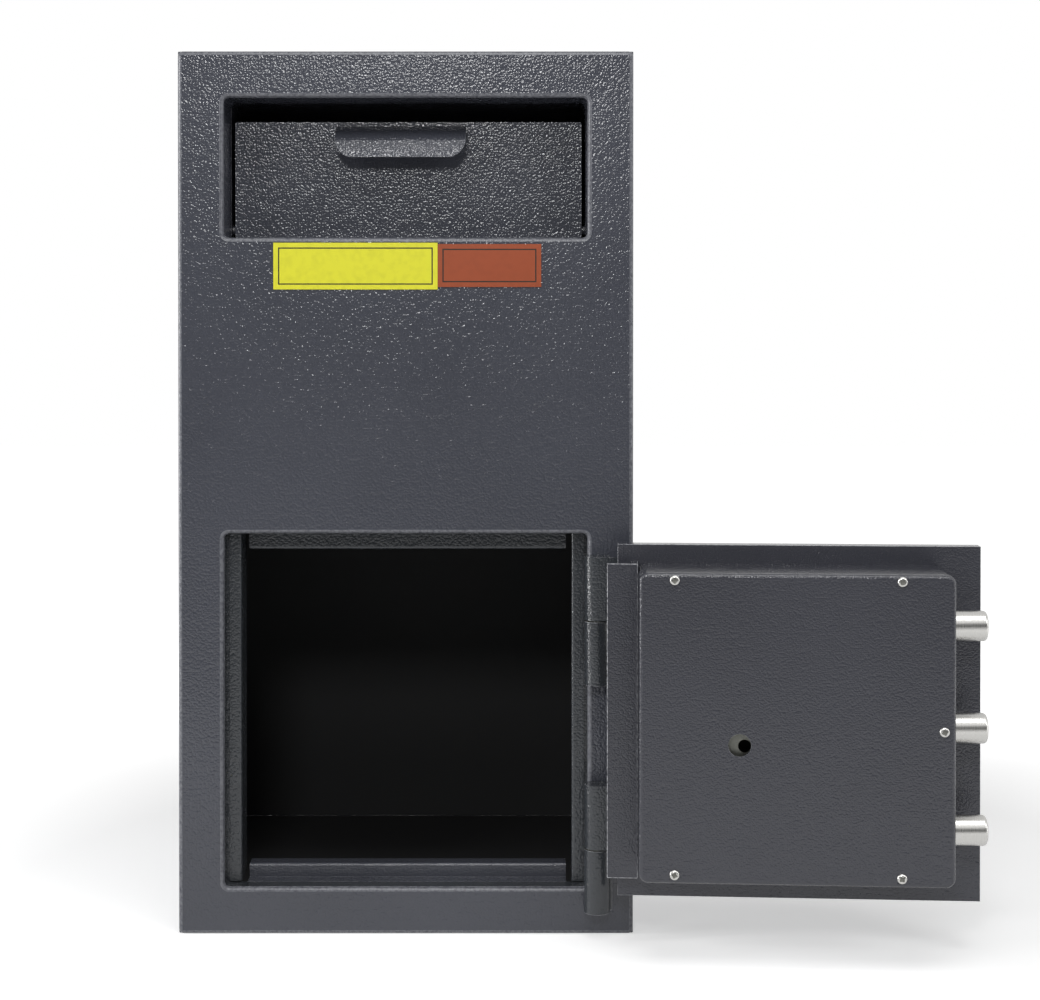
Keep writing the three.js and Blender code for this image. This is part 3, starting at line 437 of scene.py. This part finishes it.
def satin_chrome(name):
    """Satin chrome plate over brushed steel: even, cool and softly mirrored."""
    chrome = bpy.context.scene.safe_fittings.chrome_colour
    material, tree, place = new_material(name)
    # Brush marks lie under 0.1 mm apart on the real plate and are drawn at 0.4 mm to show
    mark_size, mark_depth, drawn_out = 0.4 * MM, 0.04 * MM, 0.08
    brushed = add_node(
        tree, "ShaderNodeMapping", {"Vector": place, "Scale": (1.0, 1.0, drawn_out)}
    )
    marks = add_node(
        tree,
        "ShaderNodeTexNoise",
        {"Vector": brushed, "Scale": per_metre(mark_size), "Detail": 2.0},
    )
    bump = add_node(
        tree, "ShaderNodeBump", {"Height": marks, "Strength": 0.08, "Distance": mark_depth}
    )
    end_in_surface(
        tree, {"Metallic": 1.0, "Roughness": 0.24, "Base Color": shade(chrome), "Normal": bump}
    )
    return material


def black_enamel(name):
    """Baked black enamel on a turned dial: smooth and fairly glossy, dulled where it is held."""
    black = bpy.context.scene.safe_fittings.dial_colour
    material, tree, place = new_material(name)
    held_size = 11 * MM
    held = add_node(
        tree, "ShaderNodeTexNoise", {"Vector": place, "Scale": per_metre(held_size), "Detail": 4.0}
    )
    rough = add_node(
        tree,
        "ShaderNodeMapRange",
        {"Value": held, "From Min": 0.3, "From Max": 0.7, "To Min": 0.22, "To Max": 0.36},
    )
    end_in_surface(tree, {"IOR": 1.5, "Base Color": shade(black), "Roughness": rough})
    return material


def moulded_rubber(name):
    """Moulded black rubber: matt, with a dusty bloom."""
    rubber = bpy.context.scene.safe_fittings.rubber_colour
    material, tree, place = new_material(name)
    bloom_size = 5 * MM
    colour, _ = mottled(
        tree, place, bloom_size, 4.0, shade(rubber), shade(rubber, 1.9), 0.4, 0.75
    )
    end_in_surface(tree, {"IOR": 1.52, "Roughness": 0.85, "Base Color": colour})
    return material


def printed_plate(name, node, colour):
    """Printed plastic plate: flat satin colour with one thin border line."""
    fittings = bpy.context.scene.safe_fittings
    material, tree, place = new_material(name)
    lowest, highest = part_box(node)
    centre = (lowest + highest) / 2
    half = (highest - lowest) / 2
    offset = add_node(tree, "ShaderNodeVectorMath", {0: place, 1: centre}, operation="SUBTRACT")
    away = add_node(tree, "ShaderNodeVectorMath", {0: offset}, operation="ABSOLUTE")
    left_over = add_node(tree, "ShaderNodeVectorMath", {0: half, 1: away}, operation="SUBTRACT")
    parts = add_node(tree, "ShaderNodeSeparateXYZ", {0: left_over})
    from_edge = add_node(
        tree,
        "ShaderNodeMath",
        {0: parts.outputs["X"], 1: parts.outputs["Z"]},
        operation="MINIMUM",
    )
    line = add_node(
        tree,
        "ShaderNodeMath",
        {0: from_edge, 1: fittings.border_inset, 2: fittings.border_width / 2},
        operation="COMPARE",
    )
    stain_size, film_size, film_depth = 6 * MM, 2.4 * MM, 0.1 * MM
    flat, _ = mottled(
        tree, place, stain_size, 5.0, shade(colour), shade(colour, 0.9), 0.45, 0.75
    )
    printed = add_node(
        tree,
        "ShaderNodeMix",
        {"Factor": line, "A": flat, "B": shade(fittings.border_colour)},
        data_type="RGBA",
    )
    film = add_node(
        tree, "ShaderNodeTexNoise", {"Vector": place, "Scale": per_metre(film_size)}
    )
    bump = add_node(
        tree, "ShaderNodeBump", {"Height": film, "Strength": 0.15, "Distance": film_depth}
    )
    end_in_surface(
        tree, {"IOR": 1.46, "Roughness": 0.4, "Base Color": printed, "Normal": bump}
    )
    return material


def filled_marks(name):
    """Paint wiped into engraved marks: flat, slightly chalky white."""
    white = bpy.context.scene.safe_fittings.mark_colour
    material, tree, place = new_material(name)
    chalk_size = 1.5 * MM
    colour, _ = mottled(tree, place, chalk_size, 2.0, shade(white), shade(white, 0.8), 0.4, 0.7)
    end_in_surface(tree, {"IOR": 1.5, "Roughness": 0.6, "Base Color": colour})
    return material


def finish_node(name, material, ease=None, edge=None):
    """Gives one frame node its finish, and eases its cut edges, in their own finish if any.

    The edges get the usual radius where no ease is given.
    """
    part = NODES[name]
    part.data.materials.clear()
    part.data.materials.append(material)
    if edge:
        part.data.materials.append(edge)
    part.data.polygons.foreach_set("use_smooth", [True] * len(part.data.polygons))
    weld = part.modifiers.new("joined_corners", "WELD")
    weld.merge_threshold = 0.004 * MM
    bevel = part.modifiers.new("eased_edges", "BEVEL")
    bevel.width = ease or bpy.context.scene.safe_fittings.edge_ease
    bevel.segments = 2
    bevel.material = EDGE_MATERIAL if edge else NO_EDGE_MATERIAL
    bevel.limit_method = "ANGLE"
    bevel.angle_limit = math.radians(35)
    part.modifiers.new("flat_faces", "WEIGHTED_NORMAL")


def finish_nodes(names, material, edge=None, ease=None):
    for name in names:
        finish_node(name, material, ease, edge)


def add_piece(name, mesh, material, body, replaced=()):
    """Puts a finished mesh in the scene, riding on a body of the frame."""
    mesh.materials.append(material)
    piece = bpy.data.objects.new(name, mesh)
    bpy.context.scene.collection.objects.link(piece)
    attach(piece, body)
    if replaced:
        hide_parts(*replaced)
    return piece


def door_axes():
    """The open door's own directions: toward its hinge, out of its outer face, and up."""
    outward = Vector(JOINTS["dial_turn"]["axis"]).normalized()
    up = Vector((0, 0, 1))
    return up.cross(outward).normalized() * -1, outward, up


def facing(place, right, up, normal):
    """A matrix that puts X to the right, Y up and Z toward whoever looks at that face."""
    matrix = Matrix((right, up, normal)).transposed().to_4x4()
    matrix.translation = place
    return matrix


class SAFE_OT_cabinet_paint(bpy.types.Operator):
    """Paint the cabinet, its door frame and the drawer's front"""

    bl_idname = "safe.cabinet_paint"
    bl_label = "Paint Cabinet"

    def execute(self, context):
        paint = context.scene.safe_paint
        fittings = context.scene.safe_fittings
        drops = (paint.coarse_grain, paint.coarse_relief)
        outer = hammered_enamel("coarse_hammered_enamel", paint.body_colour, *drops)
        # Eased edges take a lighter finish: rubbed enamel and a painted highlight
        edge = rubbed_enamel("coarse_enamel_rubbed_at_edges", paint.body_colour)
        # The panel's rim is lightened only a little: slight wear and a painted highlight
        rim = rubbed_enamel("front_panel_enamel_rubbed_at_rim", paint.body_colour, edge_lightening=0.3)
        finish_node("front_panel", outer, fittings.pressed_ease, rim)
        self.rub_rounded_rim(NODES["front_panel"])
        finish_nodes(["recess_liner", "sill_bar", "drawer_front", "drawer_handle"], outer, edge)
        # The door frame sits back in the opening, and its enamel is painted darker as shade
        finish_nodes(
            [
                "door_surround",
                "jamb_latch",
                "jamb_hinge",
                "header_bar",
                "hinge_post_upper",
                "hinge_post_lower",
                "hinge_leaf_upper",
                "hinge_leaf_lower",
            ],
            hammered_enamel("door_frame_hammered_enamel", paint.frame_colour, *drops),
            edge,
            fittings.folded_ease,
        )
        # Their inner faces turn near black: a painted shade for the dim inside of the cabinet
        shell = hammered_enamel(
            "coarse_hammered_enamel_over_primer", paint.body_colour, *drops, inside=True
        )
        finish_nodes(
            ["side_plate_left", "side_plate_right", "top_plate", "floor_plate", "back_plate"],
            shell,
        )
        return {"FINISHED"}

    def rub_rounded_rim(self, part):
        """The panel's rounded outer rim, which faces along no axis, takes the lighter edge finish
        too: rubbed enamel and a painted highlight.
        """
        along_axis = 0.97
        for face in part.data.polygons:
            if max(abs(share) for share in face.normal) < along_axis:
                face.material_index = EDGE_MATERIAL


class SAFE_OT_door_paint(bpy.types.Operator):
    """Paint the door, the boltwork cover and the drawer's hidden sheets"""

    bl_idname = "safe.door_paint"
    bl_label = "Paint Door"

    def execute(self, context):
        paint = context.scene.safe_paint
        coat = hammered_enamel(
            "fine_hammered_enamel", paint.door_colour, paint.fine_grain, paint.fine_relief
        )
        finish_nodes(
            [
                "door_slab",
                "dead_bar",
                "boltwork_cover",
                "drawer_cheek_left",
                "drawer_cheek_right",
                "drawer_tray",
                "drawer_pivot_tube",
                "drawer_pivot_rod",
                "housing_side_left",
                "housing_side_right",
                "curved_baffle",
                "chute_plate",
            ],
            coat,
            # Their edges take the lighter finish: rubbed enamel and a painted highlight
            rubbed_enamel("fine_enamel_rubbed_at_edges", paint.door_colour),
        )
        return {"FINISHED"}


class SAFE_OT_steel_fittings(bpy.types.Operator):
    """Finish the bolts, lock, handle, hinge pins and drawer stops"""

    bl_idname = "safe.steel_fittings"
    bl_label = "Finish Fittings"

    def execute(self, context):
        bolt_axis = Vector(JOINTS["bolt_throw"]["axis"])
        finish_nodes(
            ["live_bolt_upper", "live_bolt_middle", "live_bolt_lower"],
            turned_steel("turned_bolt_steel", bolt_axis),
        )
        finish_nodes(
            ["lock_bolt", "drive_cam"], turned_steel("ground_steel", Vector((0, 0, 1)), 0.35)
        )
        finish_nodes(
            [
                "hinge_pin_upper",
                "hinge_pin_lower",
                "cover_rail_top",
                "cover_rail_bottom",
                "bolt_guide",
                "hard_plate",
                "lock_mount",
                "lock_case",
                "lock_lid",
                "bolt_bar",
                "blocking_strip",
                "handle_crank",
            ],
            zinc_plate("dull_zinc_plate"),
        )
        finish_nodes(
            ["handle_lever", "handle_rose", "dial_ring"], satin_chrome("satin_chrome_plate")
        )
        finish_node("dial", black_enamel("baked_black_enamel"))
        finish_nodes(["drawer_stop_left", "drawer_stop_right"], moulded_rubber("moulded_rubber"))
        return {"FINISHED"}


class SAFE_OT_plain_plates(bpy.types.Operator):
    """Finish the two printed plates under the drawer"""

    bl_idname = "safe.plain_plates"
    bl_label = "Finish Plates"

    def execute(self, context):
        fittings = context.scene.safe_fittings
        for node, name, colour in (
            ("label_wide", "yellow_printed_plate", fittings.yellow_colour),
            ("label_narrow", "brown_printed_plate", fittings.brown_colour),
        ):
            part = NODES[node]
            part.data.materials.clear()
            part.data.materials.append(printed_plate(name, node, colour))
        return {"FINISHED"}


def screw_mesh(name, place, direction, side):
    """A pan-head screw: rings about its own axis, closed at both ends.

    Its cross recess takes the mesh's second material.
    """
    head_radius = 3.75 * MM
    head_height = 2.0 * MM
    shank_depth = 2.2 * MM
    recess_depth = 1.4 * MM
    segments = 48
    arm_share = 0.3
    up = direction.cross(side)
    # Each ring is a share of the head's radius, a height, and how far the cross shapes it
    rings = [
        (0.97, -shank_depth, 0),
        (0.97, 0.0, 0),
        (1.0, 0.12 * head_height, 0),
        (0.99, 0.4 * head_height, 0),
        (0.93, 0.64 * head_height, 0),
        (0.82, 0.84 * head_height, 0),
        (0.68, 0.96 * head_height, 0),
        (0.62, head_height, 0),
        (0.52, head_height, 0.6),
        (0.46, head_height - 0.7 * recess_depth, 1),
        (0.14, head_height - recess_depth, 1),
    ]
    mesh = bpy.data.meshes.new(name)
    bm = bmesh.new()
    loops = []
    for share, height, crossed in rings:
        loop = []
        for step in range(segments):
            angle = 2 * math.pi * step / segments
            radius = share * head_radius
            radius *= 1 + crossed * arm_share * math.cos(4 * angle)
            offset = side * radius * math.cos(angle) + up * radius * math.sin(angle)
            loop.append(bm.verts.new(place + offset + direction * height))
        loops.append(loop)
    for lower, upper, ring in zip(loops, loops[1:], rings):
        in_recess = int(ring[2] > 0)
        for step in range(segments):
            after = (step + 1) % segments
            face = bm.faces.new((lower[step], lower[after], upper[after], upper[step]))
            face.material_index = in_recess
    bm.faces.new(reversed(loops[0]))
    bm.faces.new(loops[-1]).material_index = 1
    bmesh.ops.recalc_face_normals(bm, faces=bm.faces)
    for face in bm.faces:
        face.smooth = len(face.verts) == 4
    bm.to_mesh(mesh)
    bm.free()
    mesh.set_sharp_from_angle(angle=math.radians(40))
    return mesh


class SAFE_OT_cover_screws(bpy.types.Operator):
    """Make the cross-recessed screws that hold the boltwork cover"""

    bl_idname = "safe.cover_screws"
    bl_label = "Make Cover Screws"

    def execute(self, context):
        steel = turned_steel("nickelled_screw_steel", Vector((0, 0, 1)), 0.26)
        # Each cross recess takes the darker steel, a painted shade
        recess = dull_recess("soiled_screw_recess")
        toward_hinge, outward, _ = door_axes()
        inward = -outward
        seat = max(corner.co.dot(inward) for corner in NODES["boltwork_cover"].data.vertices)
        clearance = 0.02 * MM
        # Each screw stops at its own turn
        turn = 0.0
        further = math.radians(37)
        for node in sorted(n for n in NODES if n.startswith("cover_screw_")):
            lowest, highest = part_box(node)
            centre = (lowest + highest) / 2
            place = centre + inward * (seat - centre.dot(inward) + clearance)
            turn += further
            side = Matrix.Rotation(turn, 3, inward) @ toward_hinge
            mesh = screw_mesh(node + "_head", place, inward, side)
            add_piece(node + "_head", mesh, steel, "door", [node])
            mesh.materials.append(recess)
        return {"FINISHED"}


def mark_box(bm, matrix, width, length, height, radius, angle):
    """One thin mark on the dial or its ring, its long side toward the centre."""
    turned = matrix @ Matrix.Rotation(-angle, 4, "Z") @ Matrix.Translation((0, radius, 0))
    sized = turned @ Matrix.Diagonal((width, length, height, 1))
    bmesh.ops.create_cube(bm, size=1, matrix=sized)


def add_dial_piece(name, shape, material, body):
    """Turns finished marks into a piece that goes with the dial's enamel."""
    mesh = bpy.data.meshes.new(name)
    shape.to_mesh(mesh)
    shape.free()
    add_piece(name, mesh, material, body)


class SAFE_OT_dial_marks(bpy.types.Operator):
    """Mark the dial: lines, plain numbers, and an index mark on its ring"""

    bl_idname = "safe.dial_marks"
    bl_label = "Mark Dial"

    def execute(self, context):
        count = context.scene.safe_fittings.dial_marks
        toward_hinge, outward, up = door_axes()
        place = Vector(JOINTS["dial_turn"]["pos_m"])
        white = filled_marks("filled_dial_marks")
        face = place + outward * self.face_depth(place, outward)
        matrix = facing(face, toward_hinge, up, outward)
        self.lines(matrix, count, white)
        self.numbers(matrix, count, white)
        ring = NODES["dial_ring"].data.vertices
        ring_face = place + outward * max((corner.co - place).dot(outward) for corner in ring)
        matrix = facing(ring_face, toward_hinge, up, outward)
        index = bmesh.new()
        width, length, thickness, radius = 0.9 * MM, 3.6 * MM, 0.12 * MM, 36.1 * MM
        mark_box(index, matrix, width, length, thickness, radius, 0)
        add_dial_piece("dial_index_mark", index, black_enamel("index_enamel"), "door")
        return {"FINISHED"}

    def face_depth(self, place, outward):
        """How far the dial's numbered face stands from its joint's place."""
        knob_radius = 20 * MM
        depths = []
        for corner in NODES["dial"].data.vertices:
            offset = corner.co - place
            depth = offset.dot(outward)
            if (offset - outward * depth).length > knob_radius:
                depths.append(depth)
        return max(depths)

    def lines(self, matrix, count, white):
        """A line for each mark, longer at every fifth and longest at every tenth."""
        lines = bmesh.new()
        outer_radius = 29.4 * MM
        width, thickness = 0.35 * MM, 0.1 * MM
        for step in range(count):
            angle = 2 * math.pi * step / count
            length = (4.2 if step % 10 == 0 else 3.2 if step % 5 == 0 else 2.1) * MM
            mark_box(lines, matrix, width, length, thickness, outer_radius - length / 2, angle)
        add_dial_piece("dial_tick_marks", lines, white, "dial")

    def numbers(self, matrix, count, white):
        """Plain numbers at every tenth mark."""
        joined = bmesh.new()
        scene = bpy.context.scene
        number_radius = 21.6 * MM
        for number in range(0, count, 10):
            text = bpy.data.curves.new("dial_number", "FONT")
            text.body = str(number)
            text.size = 5.4 * MM
            text.extrude = 0.05 * MM
            text.align_x = "CENTER"
            text.align_y = "CENTER"
            text.resolution_u = 3
            shape = bpy.data.objects.new("dial_number", text)
            scene.collection.objects.link(shape)
            turned = matrix @ Matrix.Rotation(-2 * math.pi * number / count, 4, "Z")
            shape.matrix_world = turned @ Matrix.Translation((0, number_radius, 0))
            bpy.context.view_layer.update()
            ready = shape.evaluated_get(bpy.context.evaluated_depsgraph_get())
            mesh = bpy.data.meshes.new_from_object(ready)
            mesh.transform(shape.matrix_world)
            joined.from_mesh(mesh)
            bpy.data.meshes.remove(mesh)
            bpy.data.objects.remove(shape)
            bpy.data.curves.remove(text)
        add_dial_piece("dial_numbers", joined, white, "dial")


def add_light(name, power, width, height, place, target):
    data = bpy.data.lights.new(name, "AREA")
    data.shape = "RECTANGLE"
    data.energy = power
    data.size = width
    data.size_y = height
    light = bpy.data.objects.new(name, data)
    bpy.context.scene.collection.objects.link(light)
    light.location = place
    aim = Vector(target) - Vector(place)
    light.rotation_euler = aim.to_track_quat("-Z", "Y").to_euler()


def background_strength(tree, to_matt, to_eye, to_mirror):
    """A background's strength as matt surfaces, the camera and mirrors see it."""
    path = add_node(tree, "ShaderNodeLightPath", {})
    strength = to_matt
    for ray, share in (
        ("Is Camera Ray", to_eye),
        ("Is Transmission Ray", to_eye),
        ("Is Glossy Ray", to_mirror),
    ):
        seen = add_node(
            tree, "ShaderNodeMath", {0: path.outputs[ray], 1: share}, operation="MULTIPLY"
        )
        strength = add_node(
            tree, "ShaderNodeMath", {0: strength, 1: seen}, operation="MAXIMUM"
        )
    return strength


class SAFE_OT_stage(bpy.types.Operator):
    """Set up the camera, the lights, the white background and the floor"""

    bl_idname = "safe.stage"
    bl_label = "Set Up Stage"

    def execute(self, context):
        self.camera(context)
        self.lights(context)
        self.world(context)
        self.floor(context)
        context.scene.view_settings.view_transform = "Standard"
        return {"FINISHED"}

    def camera(self, context):
        data = bpy.data.cameras.new("photo_camera")
        camera = bpy.data.objects.new("photo_camera", data)
        context.scene.collection.objects.link(camera)
        data.sensor_fit = "HORIZONTAL"
        data.lens = data.sensor_width * FOCAL_PIXELS / PHOTO_WIDTH
        data.shift_x = (PHOTO_WIDTH / 2 - SIGHT_PIXEL[0]) / PHOTO_WIDTH
        data.shift_y = (SIGHT_PIXEL[1] - PHOTO_HEIGHT / 2) / PHOTO_WIDTH
        camera.location = Vector(CAMERA_PLACE_MM) * MM
        camera.rotation_euler = Euler((math.radians(90 + CAMERA_TILT_DEGREES), 0, 0))
        context.scene.camera = camera

    def lights(self, context):
        for name, setting, *light in LIGHTS:
            add_light(name, getattr(context.scene.safe_stage, setting), *light)

    def world(self, context):
        stage = context.scene.safe_stage
        world = bpy.data.worlds.new("white_studio")
        world.use_nodes = True
        tree = world.node_tree
        tree.nodes.clear()
        view = add_node(tree, "ShaderNodeTexCoord", {}).outputs["Generated"]
        parts = add_node(tree, "ShaderNodeSeparateXYZ", {0: view})
        # The room behind the camera is dimmer than the white paper, and bolts show it as a band
        in_room = 1.0
        for axis, low, high in (("Y", -0.8, -0.3), ("Z", 0.3, 0.5)):
            toward_room = add_node(
                tree,
                "ShaderNodeMapRange",
                {
                    "Value": parts.outputs[axis],
                    "From Min": low,
                    "From Max": high,
                    "To Min": 1.0,
                    "To Max": 0.0,
                },
            )
            in_room = add_node(
                tree, "ShaderNodeMath", {0: in_room, 1: toward_room}, operation="MULTIPLY"
            )
        mirrored = add_node(
            tree, "ShaderNodeMapRange", {"Value": in_room, "To Min": 1.0, "To Max": stage.room}
        )
        strength = background_strength(tree, stage.ambient, 1.0, mirrored)
        glow = add_node(
            tree, "ShaderNodeBackground", {"Color": (1, 1, 1, 1), "Strength": strength}
        )
        add_node(tree, "ShaderNodeOutputWorld", {"Surface": glow})
        context.scene.world = world

    def floor(self, context):
        """A white paper floor that the camera sees as white, with the safe's shadow on it."""
        stage = context.scene.safe_stage
        half = 6.0
        mesh = bpy.data.meshes.new("paper_floor")
        corners = [(-half, -half, 0), (half, -half, 0), (half, half, 0), (-half, half, 0)]
        mesh.from_pydata(corners, [], [(0, 1, 2, 3)])
        floor = bpy.data.objects.new("paper_floor", mesh)
        context.scene.collection.objects.link(floor)
        floor.location.z = -0.05 * MM
        material, tree, place = new_material("white_paper")
        paper = add_node(tree, "ShaderNodeBsdfDiffuse", {"Color": (0.8, 0.8, 0.8, 1)})
        # The paper whitens from half a metre to a metre away from the middle of the shadow
        shadow_middle = (0.15, -0.1, 0.0)
        distance = add_node(
            tree, "ShaderNodeVectorMath", {0: place, 1: shadow_middle}, operation="DISTANCE"
        )
        white = add_node(
            tree,
            "ShaderNodeMapRange",
            {
                "Value": distance,
                "From Min": 0.5,
                "From Max": 1.0,
                "To Min": stage.floor_near,
                "To Max": stage.floor_far,
            },
        )
        # Mirrors see the paper end in the dimmer room, in front of the safe
        parts = add_node(tree, "ShaderNodeSeparateXYZ", {0: place})
        room = add_node(
            tree,
            "ShaderNodeMapRange",
            {
                "Value": parts.outputs["Y"],
                "From Min": -1.0,
                "From Max": -0.75,
                "To Min": stage.room,
                "To Max": 1.0,
            },
        )
        mirrored = add_node(tree, "ShaderNodeMath", {0: white, 1: room}, operation="MULTIPLY")
        strength = background_strength(tree, stage.bounce, white, mirrored)
        glow = add_node(tree, "ShaderNodeEmission", {"Strength": strength})
        both = add_node(tree, "ShaderNodeAddShader", {0: paper, 1: glow})
        add_node(tree, "ShaderNodeOutputMaterial", {"Surface": both})
        mesh.materials.append(material)


STEPS = (
    SAFE_OT_stage,
    SAFE_OT_cabinet_paint,
    SAFE_OT_door_paint,
    SAFE_OT_steel_fittings,
    SAFE_OT_plain_plates,
    SAFE_OT_cover_screws,
    SAFE_OT_dial_marks,
)


class SAFE_PT_looks(bpy.types.Panel):
    """Lists the steps that dress the safe."""

    bl_label = "Drop Safe"
    bl_idname = "SAFE_PT_looks"
    bl_space_type = "VIEW_3D"
    bl_region_type = "UI"
    bl_category = "Drop Safe"

    def draw(self, context):
        for step in STEPS:
            self.layout.operator(step.bl_idname)
        for settings in ("safe_paint", "safe_fittings", "safe_stage"):
            group = getattr(context.scene, settings)
            for name in group.__annotations__:
                self.layout.prop(group, name)


SETTINGS = {
    "safe_paint": SafePaintSettings,
    "safe_fittings": SafeFittingSettings,
    "safe_stage": SafeStageSettings,
}


def register():
    for settings in SETTINGS.values():
        bpy.utils.register_class(settings)
    for name, settings in SETTINGS.items():
        setattr(bpy.types.Scene, name, PointerProperty(type=settings))
    for step in STEPS:
        bpy.utils.register_class(step)
    bpy.utils.register_class(SAFE_PT_looks)


def unregister():
    bpy.utils.unregister_class(SAFE_PT_looks)
    for step in reversed(STEPS):
        bpy.utils.unregister_class(step)
    for name, settings in reversed(SETTINGS.items()):
        delattr(bpy.types.Scene, name)
        bpy.utils.unregister_class(settings)


def main():
    register()
    for step in STEPS:
        family, action = step.bl_idname.split(".")
        getattr(getattr(bpy.ops, family), action)()


if __name__ == "__main__":
    main()
